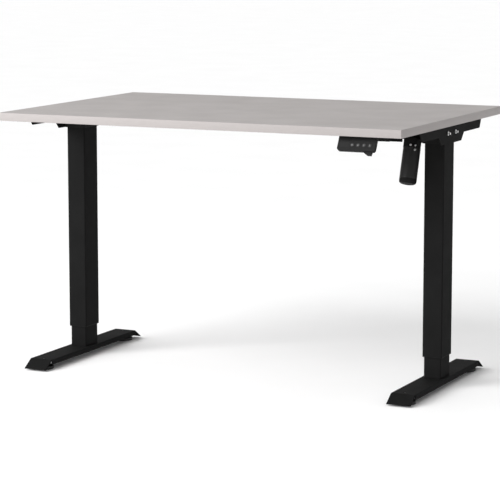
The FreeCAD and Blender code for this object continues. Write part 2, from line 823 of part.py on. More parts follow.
def gearbox_housing():
    """Drum round the worm wheel, case round the worm, and a flange with a spigot inside the motor can."""
    drum = rod(drum_radius, (drum_start, 0, shaft_z), (1, 0, 0), drum_length - drum_wall)
    case = motor_rod(worm_case_radius, -worm_case_top, worm_case_bottom)
    flange = motor_rod(flange_radius, worm_case_bottom, can_start)
    flange = flange.common(box(-flange_radius, motor_flange_flat, -flange_radius, flange_radius,
                               worm_case_bottom, can_start))
    spigot_radius = can_bore - spigot_play
    spigot = motor_ring(spigot_radius, spigot_radius - spigot_wall, can_start, can_start + spigot_length)
    pad = box(motor_x - gearbox_mount_half, motor_x + gearbox_mount_half,
              gearbox_mount_near, gearbox_mount_far, shaft_z + gearbox_mount_rise, head_top)
    solid = fuse([drum, on_motor_axis(fuse([case, flange, spigot])), pad])
    room_start = -worm_case_top + worm_case_wall
    cuts = [rod(drum_cavity, (drum_start + drum_wall, 0, shaft_z), (1, 0, 0), drum_length)]
    cuts.append(through(bush_radius + run_play, (drum_start, 0, shaft_z), (1, 0, 0), drum_wall))
    cuts.append(on_motor_axis(motor_rod(worm_room_radius, room_start, worm_room_end)))
    shaft_room = motor_shaft_radius + run_play + motor_shaft_room
    cuts.append(on_motor_axis(motor_rod(shaft_room, room_start, can_start + margin)))
    for angle, place, surface in gearbox_screw_places():
        deep = surface - gearbox_screw_length - tap_spare
        cuts.append(across_motor(gearbox_screw_radius + screw_play, angle, place, deep, surface + margin))
    return cut(solid, cuts)


def gearbox_cover():
    disc = rod(drum_radius, (drum_end - drum_wall, 0, shaft_z), (1, 0, 0), drum_wall)
    case = on_motor_axis(motor_rod(worm_case_radius + cover_play, -worm_case_top - margin, worm_case_bottom))
    bore = through(bush_radius + run_play, (drum_end - drum_wall, 0, shaft_z), (1, 0, 0), drum_wall)
    return cut(disc, [case, bore])


def gearbox_screws():
    """Round head screws square to the motor axis: two in the flange, one through the can into the spigot."""
    screws = []
    for angle, place, surface in gearbox_screw_places():
        under = surface + screw_play
        head = rod(gearbox_head_radius, (0, under, place), (0, 1, 0), gearbox_head_height)
        crown = [edge for edge in head.Edges if edge.Closed and edge.CenterOfMass.y > under + margin]
        head = head.makeFillet(gearbox_head_round, crown)
        tip = (0, under - gearbox_screw_length, place)
        shank = rod(gearbox_screw_radius, tip, (0, 1, 0), gearbox_screw_length)
        screws.append(on_motor_axis(turned(fuse([head, shank]), (0, 0, 1), -angle)))
    return Part.makeCompound(screws)


def motor_can():
    """Open tube; the gearbox closes its upper end and the cap its lower one."""
    can = on_motor_axis(motor_ring(motor_radius, can_bore, can_start, can_end))
    angle, place, surface = gearbox_screw_places()[-1]
    hole = gearbox_screw_radius + gearbox_screw_hole_play
    return can.cut(across_motor(hole, angle, place, can_bore - margin, surface + margin))


def motor_end_cap():
    cap = motor_rod(motor_radius, can_end, can_end + motor_cap)
    cap = cap.makeFillet(motor_cap_round, round_edges(cap, can_end + motor_cap))
    pocket = motor_rod(motor_shaft_radius + run_play, can_end, can_end + motor_shaft_tail + margin)
    return on_motor_axis(cap.cut(pocket))


def motor_magnets():
    """Two curved magnets on the inside of the can."""
    outer = can_bore - magnet_play
    start = armature_start - magnet_overhang
    end = armature_start + armature_length + magnet_overhang
    full = motor_ring(outer, armature_radius + magnet_gap, start, end)
    halves = []
    for side in (-1, 1):
        x0, x1 = sorted((side * magnet_split, side * outer))
        halves.append(on_motor_axis(full.common(box(x0, x1, -outer, outer, start, end))))
    return Part.makeCompound(halves)


def motor_armature():
    end = armature_start + armature_length
    core = motor_ring(armature_radius, motor_shaft_radius, armature_start, end)
    slot = box(armature_radius - armature_slot_depth, armature_radius + margin,
               -armature_slot_half, armature_slot_half, armature_start, end)
    slots = [turned(slot, (0, 0, 1), 360.0 / armature_slots * step) for step in range(armature_slots)]
    commutator = motor_ring(commutator_radius, motor_shaft_radius, end, end + commutator_length)
    return on_motor_axis(fuse([cut(core, slots), commutator]))


def worm_shaft():
    """Motor shaft with the worm on its upper end, as a plain cylinder of the root diameter."""
    start = -worm_case_top + worm_case_wall + motor_shaft_end_gap
    shaft = motor_rod(motor_shaft_radius, start, can_end + motor_shaft_tail)
    worm = motor_rod(worm_root, start + worm_inset, start + worm_inset + worm_length)
    return on_motor_axis(fuse([shaft, worm]))


def worm_wheel():
    """Straight-toothed stand-in for the worm wheel; its hub runs in the two gearbox bushes."""
    tip = wheel_pitch + wheel_module
    root = wheel_pitch - wheel_dedendum * wheel_module
    clear = tip + margin
    x0 = motor_x - wheel_width / 2
    wheel = rod(tip, (x0, 0, shaft_z), (1, 0, 0), wheel_width)
    pitch = 2 * math.pi / wheel_teeth
    sides = ((root, wheel_gap_root), (clear, wheel_gap_tip), (clear, -wheel_gap_tip), (root, -wheel_gap_root))
    gaps = []
    for tooth in range(wheel_teeth):
        points = []
        for radius, share in sides:
            angle = (tooth + share) * pitch
            points.append((x0, radius * math.cos(angle), shaft_z + radius * math.sin(angle)))
        gaps.append(slab(points, (wheel_width, 0, 0)))
    wheel = wheel.cut(Part.makeCompound(gaps))
    hub_start = (drum_start + end_play, 0, shaft_z)
    hub_length = drum_length - 2 * end_play
    hub = rod(bevel_hub_radius, hub_start, (1, 0, 0), hub_length)
    return fuse([wheel, hub]).cut(hexagon(shaft_flats + hex_play, hub_start, hub_length))


# ---------------------------------------------------------------- control box

def control_box_plan():
    x1 = motor_bracket_x + box_past_bracket
    y1 = beam_front - box_from_beam
    return x1 - box_length, x1, y1 - box_width, y1


def inlet_place():
    """Centre of the mains inlet on the left wall of the control box."""
    x0, x1, y0, y1 = control_box_plan()
    return x0, y0 + inlet_y, underside_height - box_height / 2


def socket_places():
    x0, x1, y0, y1 = control_box_plan()
    return [(x0, y0 + y, underside_height - box_height / 2) for y in socket_ys]


def wall_opening(place, half_y, half_z):
    """A cutting block through the left wall of the control box."""
    x, y, z = place
    return box(x - margin, x + box_wall + margin, y - half_y, y + half_y, z - half_z, z + half_z)


def control_box_base():
    x0, x1, y0, y1 = control_box_plan()
    z0 = underside_height - box_height
    z1 = underside_height - box_cover
    outside = box(x0, x1, y0, y1, z0, z1)
    tray = outside.makeFillet(box_corner, edges_along(outside, (0, 0, 1)))
    tray = tray.cut(box(x0 + box_wall, x1 - box_wall, y0 + box_wall, y1 - box_wall, z0 + box_wall, z1))
    cuts = [wall_opening(inlet_place(), inlet_half_y, inlet_half_z)]
    cuts += [wall_opening(place, socket_half_y, socket_half_z) for place in socket_places()]
    for step in range(vent_count):
        x = x1 - vent_inset - step * vent_pitch
        cuts.append(box(x - vent_half, x + vent_half, y0 + vent_inset, y1 - vent_inset,
                        z0 - margin, z0 + box_wall + margin))
    return cut(tray, cuts)


def control_box_cover():
    x0, x1, y0, y1 = control_box_plan()
    z0 = underside_height - box_cover
    middle = (y0 + y1) / 2
    lid = box(x0, x1, y0, y1, z0, underside_height)
    ears = box(x0 - box_ear_length, x1 + box_ear_length, middle - box_ear_half, middle + box_ear_half,
               z0, underside_height)
    radius = wood_screw_radius + wood_hole_play
    holes = [through(radius, (x, y, z0), (0, 0, 1), box_cover) for x, y in box_screw_places()]
    return cut(fuse([lid, ears]), holes)


def control_board():
    x0, x1, y0, y1 = control_box_plan()
    z0 = underside_height - box_height + box_wall
    low = z0 + board_post_height
    top = low + board_thickness
    left = x0 + board_behind_sockets
    right = x1 - board_edge
    front = y0 + board_edge
    back = y1 - board_edge
    parts = [box(left, right, front, back, low, top)]
    for x in (left + board_post_inset, right - board_post_inset):
        for y in (front + board_post_inset, back - board_post_inset):
            half = board_post_half
            parts.append(box(x - half, x + half, y - half, y + half, z0, low))
    from_right, from_front = transformer_place
    width, depth, height = transformer_size
    parts.append(box(x1 - from_right - width, x1 - from_right, y0 + from_front, y0 + from_front + depth,
                     top, top + height))
    from_right, from_front = capacitor_place
    parts.append(rod(capacitor_radius, (x1 - from_right, y0 + from_front, top), (0, 0, 1), capacitor_height))
    from_right, from_back = heat_sink_place
    width, depth, height = heat_sink_size
    parts.append(box(x1 - from_right - width, x1 - from_right, y1 - from_back - depth, y1 - from_back,
                     top, top + height))
    return fuse(parts)


def socket_shell(place, half_y, half_z, depth, wall):
    x, y, z = place
    outer_y = half_y - socket_play
    outer_z = half_z - socket_play
    outside = box(x, x + depth, y - outer_y, y + outer_y, z - outer_z, z + outer_z)
    inner_y = half_y - wall
    inner_z = half_z - wall
    return outside.cut(box(x - margin, x + depth - wall, y - inner_y, y + inner_y, z - inner_z, z + inner_z))


def power_inlet():
    """Appliance inlet with three pins; a detachable mains lead goes in here."""
    x, y, z = inlet_place()
    parts = [socket_shell((x, y, z), inlet_half_y, inlet_half_z, inlet_depth, inlet_wall)]
    for dy, dz in inlet_pin_places:
        parts.append(box(x + inlet_pin_inset, x + inlet_depth - inlet_wall / 2,
                         y + dy - inlet_pin_half_y, y + dy + inlet_pin_half_y,
                         z + dz - inlet_pin_half_z, z + dz + inlet_pin_half_z))
    return fuse(parts)


def control_sockets():
    """Two data sockets, for the handset and the motor."""
    shells = []
    for place in socket_places():
        shells.append(socket_shell(place, socket_half_y, socket_half_z, socket_depth, socket_wall))
    return Part.makeCompound(shells)


# ---------------------------------------------------------------- handset

def face_point(up, out):
    """Y and Z of a point in the handset's side view: up from the middle of its face, and out of the face."""
    lean = math.radians(handset_lean)
    y = -top_depth / 2 + handset_setback + (handset_half + up) * math.sin(lean) - out * math.cos(lean)
    z = underside_height - handset_gap - (handset_half - up) * math.cos(lean) + out * math.sin(lean)
    return y, z


def on_face(shape):
    """Places a shape drawn on the handset's face: X across, Y up the face, Z out of it."""
    y, z = face_point(0, 0)
    return moved(turned(shape, (1, 0, 0), 90 - handset_lean), handset_x, y, z)


def button_places():
    first = -handset_width / 2 + button_first
    return [first + step * button_pitch for step in range(button_count)]


def handset_slab(inset, z0, z1):
    """A slab of the handset's outline, drawn on its face; its lower corners are rounded."""
    half_x = handset_width / 2 - inset
    half_y = handset_half - inset
    plate = box(-half_x, half_x, -half_y, half_y, z0, z1)
    low = [edge for edge in edges_along(plate, (0, 0, 1)) if edge.CenterOfMass.y < 0]
    return plate.makeFillet(handset_corner - inset, low)


def window_box(play, z0, z1):
    x0 = -handset_width / 2 + window_inset
    return box(x0 - play, x0 + window_width + play, window_level - window_half - play,
               window_level + window_half + play, z0, z1)


def handset_face():
    plate = handset_slab(0, -face_thickness, 0)
    plate = plate.makeFillet(face_round, [edge for edge in plate.Edges if edge.BoundBox.ZMin > -0.01])
    cuts = [window_box(window_play, -window_depth, margin)]
    for x in button_places():
        start = (x, button_level, -face_thickness)
        cuts.append(through(button_radius + button_play, start, (0, 0, 1), face_thickness))
    return on_face(cut(plate, cuts))


def handset_window():
    return on_face(window_box(0, -window_depth, -window_sink))


def button(index):
    start = (button_places()[index], button_level, -face_thickness)
    cap = rod(button_radius, start, (0, 0, 1), face_thickness + button_height)
    return on_face(cap.makeFillet(button_round, round_edges(cap, button_height)))


def handset_board_level():
    """Underside of the handset's circuit board, below the front of the face."""
    return switch_top - switch_height - handset_board_thickness


def handset_mount_front():
    return face_point(handset_half, -face_thickness - margin)[0]


def handset_back():
    """Thin body behind the face, with a rib and a plate that hold it under the tabletop."""
    body = handset_slab(0, -handset_depth, -face_thickness)
    rear = [edge for edge in body.Edges if edge.BoundBox.ZMax < -handset_depth + 0.01]
    body = on_face(body.makeFillet(handset_back_round, rear))
    x = handset_x
    top = underside_height
    front = handset_mount_front()
    back = front + handset_mount_depth
    plate = box(x - handset_mount_half, x + handset_mount_half, front, back, top - handset_ear, top)
    root_y, root_z = face_point(handset_half - handset_rib_grip, -handset_depth + margin)
    rib_back = back - handset_rib_short
    rib_outline = [(front, top), (rib_back, top), (rib_back, top - handset_ear), (root_y, root_z)]
    rib = slab([(x - handset_rib_half, y, z) for y, z in rib_outline], (2 * handset_rib_half, 0, 0))
    lug_points = [(across, -handset_half + down, -handset_depth) for across, down in lug_outline]
    lug = on_face(slab(lug_points, (0, 0, lug_thickness)))
    floor = -handset_depth + handset_floor
    pocket = on_face(handset_slab(handset_wall, floor, -face_thickness + margin))
    shell = cut(fuse([body, plate, rib, lug]), [pocket])
    posts = []
    for side in (-1, 1):
        for end in (-1, 1):
            across = side * (handset_width / 2 - handset_post_inset)
            up = end * (handset_half - handset_post_inset)
            post = rod(handset_post_radius, (across, up, floor), (0, 0, 1), handset_board_level() - floor)
            posts.append(on_face(post))
    radius = wood_screw_radius + wood_hole_play
    holes = [through(radius, (sx, sy, top - handset_ear), (0, 0, 1), handset_ear)
             for sx, sy in handset_screw_places()]
    return cut(fuse([shell] + posts), holes)


def handset_board():
    low = handset_board_level()
    board = handset_slab(handset_wall + handset_board_play, low, low + handset_board_thickness)
    switches = []
    for x in button_places():
        start = (x, button_level, low + handset_board_thickness)
        switches.append(rod(switch_radius, start, (0, 0, 1), switch_height))
    return on_face(fuse([board] + switches))


# ---------------------------------------------------------------- feet

def foot_bolt_places():
    return [(column_x + sx * foot_bolt_x, sy * foot_bolt_y) for sx in (-1, 1) for sy in (-1, 1)]


def fold_edges(sheet, level):
    """Edges across the foot at one level, where the end flaps turn down."""
    return [edge for edge in edges_along(sheet, (1, 0, 0)) if abs(edge.CenterOfMass.z - level) < 0.01]


def foot(side):
    """Folded sheet channel, open below, with a sloping flap at each end."""
    half = foot_length / 2
    slope = math.atan2(toe_drop, toe_reach)
    normal_y = foot_sheet * math.sin(slope)
    normal_z = foot_sheet * math.cos(slope)
    fold_in = foot_sheet * math.tan(slope / 2)
    tip = (half + toe_reach, foot_top - toe_drop)
    x0 = column_x - foot_width / 2
    right_half = [(half, foot_top), tip, (tip[0] - normal_y, tip[1] - normal_z), (half - fold_in, foot_under)]
    points = [(x0, y, z) for y, z in right_half]
    points += [(x0, -y, z) for y, z in reversed(right_half)]
    sheet = slab(points, (foot_width, 0, 0))
    sheet = sheet.makeFillet(foot_fold_radius, fold_edges(sheet, foot_top))
    sheet = sheet.makeFillet(foot_fold_radius - foot_sheet, fold_edges(sheet, foot_under))
    wall_half = half - foot_wall_setback
    pieces = [sheet]
    for x in (x0, x0 + foot_width - foot_sheet):
        pieces.append(box(x, x + foot_sheet, -wall_half, wall_half, foot_wall_bottom, foot_under))
    nut_start = foot_under - foot_nut_height
    for y in (-pad_y, pad_y):
        pieces.append(rod(foot_nut_radius, (column_x, y, nut_start), (0, 0, 1), foot_nut_height))
    body = fuse(pieces)
    long_edges = []
    for edge in edges_along(body, (0, 1, 0)):
        middle = edge.CenterOfMass
        on_side = abs(abs(middle.x - column_x) - foot_width / 2) < 0.01
        if on_side and abs(middle.z - foot_top) < 0.01 and edge.Length > foot_length / 2:
            long_edges.append(edge)
    body = body.makeFillet(foot_sheet - foot_edge_spare, long_edges)
    holes = []
    for y in (-pad_y, pad_y):
        height = foot_top - nut_start
        holes.append(through(stud_radius + run_play, (column_x, y, nut_start), (0, 0, 1), height))
    for x, y in foot_bolt_places():
        holes.append(through(foot_bolt_radius + frame_hole_play, (x, y, foot_under), (0, 0, 1), foot_sheet))
    return beside(cut(body, holes), side)


def base_plate(side):
    """Tapped plate welded into the bottom of the inner tube."""
    width = inner_width - 2 * tube_wall - 2 * base_plate_play
    depth = inner_depth - 2 * tube_wall - 2 * base_plate_play
    top = foot_top + base_plate_thickness
    plate = rounded_bar(width, depth, tube_corner - tube_wall, column_x, foot_top, top)
    taps = []
    for x, y in foot_bolt_places():
        start = (x, y, foot_top)
        taps.append(through(foot_bolt_radius + screw_play, start, (0, 0, 1), base_plate_thickness))
    return beside(cut(plate, taps), side)


def foot_bolts(side):
    bolts = []
    length = foot_sheet + base_plate_thickness - foot_bolt_end_gap
    for x, y in foot_bolt_places():
        low = (x, y, foot_under - foot_bolt_head_height)
        head = rod(foot_bolt_head, low, (0, 0, 1), foot_bolt_head_height)
        shank = rod(foot_bolt_radius, (x, y, foot_under), (0, 0, 1), length)
        socket = rod(foot_bolt_socket, low, (0, 0, 1), foot_bolt_socket_depth)
        bolts.append(beside(fuse([head, shank]).cut(socket), side))
    return Part.makeCompound(bolts)


def levelling_foot(side, end):
    """Round plastic pad moulded onto a steel stud."""
    x = side * column_x
    y = end * pad_y
    disc = rod(pad_radius, (x, y, 0), (0, 0, 1), pad_height)
    disc = disc.makeFillet(pad_round, round_edges(disc, pad_height))
    hub = rod(pad_hub_radius, (x, y, pad_height), (0, 0, 1), pad_hub_height)
    stud = rod(stud_radius, (x, y, pad_height), (0, 0, 1), foot_top - stud_top_gap - pad_height)
    return fuse([disc, hub, stud])


# ---------------------------------------------------------------- every node

nodes = {
    "tabletop_board": tabletop_board(),
    "edge_banding": edge_banding(),
    "tabletop_screws": tabletop_screws(),
    "beam_slide_rail": beam_slide_rail(),
    "motor_bracket": motor_bracket(),
    "frame_screws": frame_screws(),
    "spindle_bearings": spindle_bearings(),
    "shaft_bushes": shaft_bushes(),
    "column_glides": Part.makeCompound([glide(-1), glide(1)]),
    "gearbox_housing": gearbox_housing(),
    "gearbox_cover": gearbox_cover(),
    "gearbox_screws": gearbox_screws(),
    "motor_can": motor_can(),
    "motor_end_cap": motor_end_cap(),
    "motor_magnets": motor_magnets(),
    "motor_armature": motor_armature(),
    "worm_shaft": worm_shaft(),
    "worm_wheel": worm_wheel(),
    "hex_shaft": hex_shaft(),
    "bevel_pinions": bevel_pinions(),
    "control_box_base": control_box_base(),
    "control_box_cover": control_box_cover(),
    "control_board": control_board(),
    "power_inlet": power_inlet(),
    "control_sockets": control_sockets(),
    "handset_face": handset_face(),
    "handset_back": handset_back(),
    "handset_window": handset_window(),
    "handset_board": handset_board(),
}

for index in range(button_count):
    nodes["button_%d" % (index + 1)] = button(index)

for side, name in ((-1, "left"), (1, "right")):
    nodes[name + "_side_bracket"] = side_bracket(side)
    nodes[name + "_beam_channel"] = beam_channel(side)
    nodes[name + "_gear_head"] = gear_head(side)
    nodes[name + "_outer_tube"] = outer_tube(side)
    nodes[name + "_inner_tube"] = inner_tube(side)
    nodes[name + "_spindle"] = spindle(side)
    nodes[name + "_spindle_nut"] = spindle_nut(side)
    nodes[name + "_bevel_gear"] = bevel_gear(side)
    nodes[name + "_foot"] = foot(side)
    nodes[name + "_base_plate"] = base_plate(side)
    nodes[name + "_foot_bolts"] = foot_bolts(side)
    nodes[name + "_front_levelling_foot"] = levelling_foot(side, -1)
    nodes[name + "_back_levelling_foot"] = levelling_foot(side, 1)

os.makedirs("parts", exist_ok=True)
for name, shape in nodes.items():
    shape.exportStep("parts/%s.step" % name)
    print(name, len(shape.Solids), shape.isValid(), round(shape.Volume))
print("nodes", len(nodes), "stroke", lift_stroke)
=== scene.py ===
import json
import math

import bmesh
import bpy
from mathutils import Matrix, Vector


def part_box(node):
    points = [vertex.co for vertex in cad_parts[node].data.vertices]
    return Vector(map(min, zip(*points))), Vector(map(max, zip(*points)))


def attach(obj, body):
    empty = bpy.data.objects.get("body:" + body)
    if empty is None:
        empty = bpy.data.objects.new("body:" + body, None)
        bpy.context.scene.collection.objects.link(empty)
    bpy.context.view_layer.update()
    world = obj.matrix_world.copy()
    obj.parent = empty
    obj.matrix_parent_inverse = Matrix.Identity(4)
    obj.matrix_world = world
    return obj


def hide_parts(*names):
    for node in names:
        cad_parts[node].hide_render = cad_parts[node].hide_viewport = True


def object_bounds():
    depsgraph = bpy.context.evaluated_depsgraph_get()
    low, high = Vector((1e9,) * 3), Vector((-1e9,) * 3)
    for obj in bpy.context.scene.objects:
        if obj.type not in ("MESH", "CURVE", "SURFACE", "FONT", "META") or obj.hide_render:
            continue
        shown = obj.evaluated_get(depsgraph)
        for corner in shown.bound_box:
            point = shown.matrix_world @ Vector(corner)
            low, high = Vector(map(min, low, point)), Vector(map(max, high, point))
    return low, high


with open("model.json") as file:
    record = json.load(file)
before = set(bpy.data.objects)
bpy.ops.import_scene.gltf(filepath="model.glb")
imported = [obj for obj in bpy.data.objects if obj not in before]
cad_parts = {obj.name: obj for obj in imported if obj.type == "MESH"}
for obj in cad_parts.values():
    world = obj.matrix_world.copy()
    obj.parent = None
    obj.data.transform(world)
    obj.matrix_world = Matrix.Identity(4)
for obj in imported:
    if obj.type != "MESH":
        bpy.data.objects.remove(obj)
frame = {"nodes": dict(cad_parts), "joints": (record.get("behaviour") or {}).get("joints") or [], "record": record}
cadLow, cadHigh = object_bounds()
record = frame["record"]
bodyOf = {node: body for body, members in record["behaviour"]["bodies"].items() for node in members}
slotOf = {part["node"]: part["material_slot"] for part in record["subparts"]}
jointOf = {joint["name"]: joint for joint in frame["joints"]}
sides = ("left", "right")
ends = ("front", "back")
mm = 0.001


def put(tree, kind, sockets=None, settings=None):
    # one node; a socket takes a value or the output that feeds it
    made = tree.nodes.new(kind)
    for name, value in (settings or {}).items():
        setattr(made, name, value)
    for name, value in (sockets or {}).items():
        if isinstance(value, bpy.types.NodeSocket):
            tree.links.new(value, made.inputs[name])
        else:
            made.inputs[name].default_value = value
    return made


def newPiece(name, mesh):
    piece = bpy.data.objects.new(name, mesh)
    bpy.context.scene.collection.objects.link(piece)
    return piece


def pieceFrom(bm, name):
    mesh = bpy.data.meshes.new(name)
    bm.to_mesh(mesh)
    bm.free()
    return newPiece(name, mesh)


def plainMesh(piece):
    # what the modifiers make becomes the piece's own mesh
    bpy.context.view_layer.update()
    depsgraph = bpy.context.evaluated_depsgraph_get()
    made = bpy.data.meshes.new_from_object(piece.evaluated_get(depsgraph), depsgraph=depsgraph)
    piece.modifiers.clear()
    piece.data = made
    return piece


def softenEdges(piece, width, segments=2, angle=35):
    # a fine radius on every sharp edge, with the broad faces kept flat in the shading
    for polygon in piece.data.polygons:
        polygon.use_smooth = True
    bevel = piece.modifiers.new("edges", "BEVEL")
    bevel.width = width
    bevel.segments = segments
    bevel.limit_method = "ANGLE"
    bevel.angle_limit = math.radians(angle)
    bevel.use_clamp_overlap = True
    normals = piece.modifiers.new("normals", "WEIGHTED_NORMAL")
    normals.keep_sharp = True
    return plainMesh(piece)


def smoothBelow(piece, degrees):
    for polygon in piece.data.polygons:
        polygon.use_smooth = True
    piece.data.set_sharp_from_angle(angle=math.radians(degrees))
    return piece


def paint(piece, slot):
    piece.data.materials.clear()
    piece.data.materials.append(finishes[slot])
    return piece


def standFor(piece, *names, body=None, slot=None):
    # the piece takes the place, body and finish of the CAD nodes it stands for
    chosen = slot or slotOf[names[0]]
    paint(piece, chosen)
    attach(piece, body or bodyOf[names[0]])
    if names:
        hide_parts(*names)
    return piece


def mergedCopy(node, name):
    bm = bmesh.new()
    bm.from_mesh(frame["nodes"][node].data)
    bmesh.ops.remove_doubles(bm, verts=bm.verts, dist=0.002 * mm)
    bmesh.ops.dissolve_limit(bm, angle_limit=math.radians(0.5), verts=bm.verts, edges=bm.edges)
    return pieceFrom(bm, name)


def refined(node, width, segments=2):
    # the CAD shape with its loose triangles joined and every sharp edge given a fine radius
    piece = mergedCopy(node, node + "_finished")
    softenEdges(piece, width, segments)
    return standFor(piece, node)


def lathe(name, profile, start, axis, steps=64):
    # revolves a closed profile of (radius, distance along the axis) points
    bm = bmesh.new()
    turn = Vector((0, 0, 1)).rotation_difference(Vector(axis)).to_matrix()
    columns = []
    for step in range(steps):
        angle = 2 * math.pi * step / steps
        spoke = Vector((math.cos(angle), math.sin(angle), 0))
        column = []
        for radius, along in profile:
            column.append(bm.verts.new(Vector(start) + turn @ (spoke * radius + Vector((0, 0, along)))))
        columns.append(column)
    count = len(profile)
    for step in range(steps):
        here, there = columns[step], columns[(step + 1) % steps]
        for index in range(count):
            follow = (index + 1) % count
            bm.faces.new((here[index], there[index], there[follow], here[follow]))
    bmesh.ops.remove_doubles(bm, verts=bm.verts, dist=0.001 * mm)
    bmesh.ops.dissolve_degenerate(bm, dist=0.001 * mm, edges=bm.edges)
    bmesh.ops.recalc_face_normals(bm, faces=bm.faces)
    return pieceFrom(bm, name)


def arc(centre, radius, first, last, steps):
    # points of a profile on an arc, angles in degrees from the radial direction
    points = []
    for step in range(steps + 1):
        angle = math.radians(first + (last - first) * step / steps)
        points.append((centre[0] + radius * math.cos(angle), centre[1] + radius * math.sin(angle)))
    return points


def spanAlong(node, start, axis):
    # how far a CAD node reaches along an axis, and its largest radius about it
    start, axis = Vector(start), Vector(axis).normalized()
    low, high, radius = 1e9, -1e9, 0
    for vertex in frame["nodes"][node].data.vertices:
        offset = vertex.co - start
        along = offset.dot(axis)
        low, high = min(low, along), max(high, along)
        radius = max(radius, (offset - along * axis).length)
    return low, high, radius


def solidsOf(node):
    # the separate solids of a CAD node, each a list of points
    bm = bmesh.new()
    bm.from_mesh(frame["nodes"][node].data)
    bmesh.ops.remove_doubles(bm, verts=bm.verts, dist=0.002 * mm)
    waiting = set(bm.verts)
    solids = []
    for start in bm.verts:
        if start not in waiting:
            continue
        waiting.remove(start)
        grown = [start]
        found = []
        while grown:
            vertex = grown.pop()
            found.append(vertex.co.copy())
            for edge in vertex.link_edges:
                other = edge.other_vert(vertex)
                if other in waiting:
                    waiting.remove(other)
                    grown.append(other)
        solids.append(found)
    bm.free()
    return solids


def screwSeats(node, spindle=None):
    # for each screw: the middle of the face under its head, the way its head faces, head radius and height;
    # screws set square to a spindle, a point and a direction, face away from it
    seats = []
    for points in solidsOf(node):
        low = Vector(map(min, *points))
        high = Vector(map(max, *points))
        middle = (low + high) / 2
        size = high - low
        if spindle is None:
            uneven = [abs(size[i] - (size[(i + 1) % 3] + size[(i + 2) % 3]) / 2) for i in range(3)]
            facing = Vector([1.0 if i == uneven.index(max(uneven)) else 0.0 for i in range(3)])
        else:
            offset = middle - spindle[0]
            facing = (offset - offset.dot(spindle[1]) * spindle[1]).normalized()
        radii = [((p - middle) - (p - middle).dot(facing) * facing).length for p in points]
        radius = max(radii)
        headPoints = [(p - middle).dot(facing) for p, r in zip(points, radii) if r > 0.96 * radius]
        everyPoint = [(p - middle).dot(facing) for p in points]
        if sum(headPoints) / len(headPoints) < sum(everyPoint) / len(everyPoint):
            facing = -facing
            headPoints = [-along for along in headPoints]
            everyPoint = [-along for along in everyPoint]
        seats.append((middle + min(headPoints) * facing, facing, radius, max(everyPoint) - min(headPoints)))
    return seats


def newFinish(name, **values):
    material = bpy.data.materials.new(name)
    material.use_nodes = True
    tree = material.node_tree
    tree.nodes.clear()
    shader = put(tree, "ShaderNodeBsdfPrincipled")
    put(tree, "ShaderNodeOutputMaterial", {"Surface": shader.outputs[0]})
    for key, value in values.items():
        shader.inputs[key.replace("_", " ")].default_value = value
    return material, tree, shader


def grain(tree, scale, detail=2.0, rough=0.5, stretch=(1, 1, 1)):
    where = put(tree, "ShaderNodeTexCoord").outputs["Object"]
    mapping = put(tree, "ShaderNodeMapping", {"Vector": where, "Scale": stretch})
    noise = put(tree, "ShaderNodeTexNoise",
                {"Vector": mapping.outputs[0], "Scale": scale, "Detail": detail, "Roughness": rough})
    return noise.outputs["Fac"]


def between(tree, factor, low, high, start=0.3, stop=0.7):
    return put(tree, "ShaderNodeMapRange", {"Value": factor, "From Min": start, "From Max": stop,
                                            "To Min": low, "To Max": high}).outputs[0]


def tint(tree, factor, dark, light, start=0.3, stop=0.7):
    ramp = put(tree, "ShaderNodeValToRGB", {"Fac": factor})
    ramp.color_ramp.elements[0].position = start
    ramp.color_ramp.elements[1].position = stop
    ramp.color_ramp.elements[0].color = (*dark, 1)
    ramp.color_ramp.elements[1].color = (*light, 1)
    return ramp.outputs[0]


def blendOf(tree, mode, amount, first, second):
    mix = put(tree, "ShaderNodeMix", settings={"data_type": "RGBA", "blend_type": mode})
    for index, value in ((0, amount), (6, first), (7, second)):
        if isinstance(value, bpy.types.NodeSocket):
            tree.links.new(value, mix.inputs[index])
        else:
            mix.inputs[index].default_value = value
    return mix.outputs[2]


def relief(tree, shader, height, depth, strength=1.0):
    bump = put(tree, "ShaderNodeBump", {"Height": height, "Distance": depth, "Strength": strength})
    tree.links.new(bump.outputs[0], shader.inputs["Normal"])


def grey(value):
    return (value, value, value)


laminateLook = {
    "dark": (0.352, 0.331, 0.324), "light": (0.380, 0.358, 0.351),
    "cloudScale": 9.0, "pearlScale": 700.0, "grainScale": 1900.0, "relief": 0.05 * mm,
}


def laminate():
    # melamine with a fine pearl structure: slow clouds, a close mottle and a pressed grain
    look = laminateLook
    material, tree, shader = newFinish("greigeLaminate", Specular_IOR_Level=0.12)
    clouds = tint(tree, grain(tree, look["cloudScale"], 3), look["dark"], look["light"], 0.35, 0.65)
    mottle = tint(tree, grain(tree, look["pearlScale"], 3, 0.6), grey(0.94), grey(1.0), 0.38, 0.6)
    tree.links.new(blendOf(tree, "MULTIPLY", 1.0, clouds, mottle), shader.inputs["Base Color"])
    fine = grain(tree, look["grainScale"], 4, 0.65)
    tree.links.new(between(tree, fine, 0.5, 0.68), shader.inputs["Roughness"])
    relief(tree, shader, fine, look["relief"], 0.6)
    return material


edgeLook = {"dark": (0.328, 0.304, 0.298), "light": (0.352, 0.327, 0.320), "streak": (14, 14, 220)}


def edgeBand():
    # satin plastic strip, with faint lines along it from its roller
    look = edgeLook
    material, tree, shader = newFinish("greigeEdgeBand", Specular_IOR_Level=0.3)
    lines = grain(tree, 6.0, 2, 0.5, look["streak"])
    tree.links.new(tint(tree, lines, look["dark"], look["light"]), shader.inputs["Base Color"])
    tree.links.new(between(tree, lines, 0.42, 0.52), shader.inputs["Roughness"])
    relief(tree, shader, grain(tree, 1500.0, 3, 0.6), 0.03 * mm, 0.5)
    return material


coatLook = {"dark": grey(0.0062), "light": grey(0.0092), "fleck": 1100.0, "wave": 260.0, "relief": 0.10 * mm}


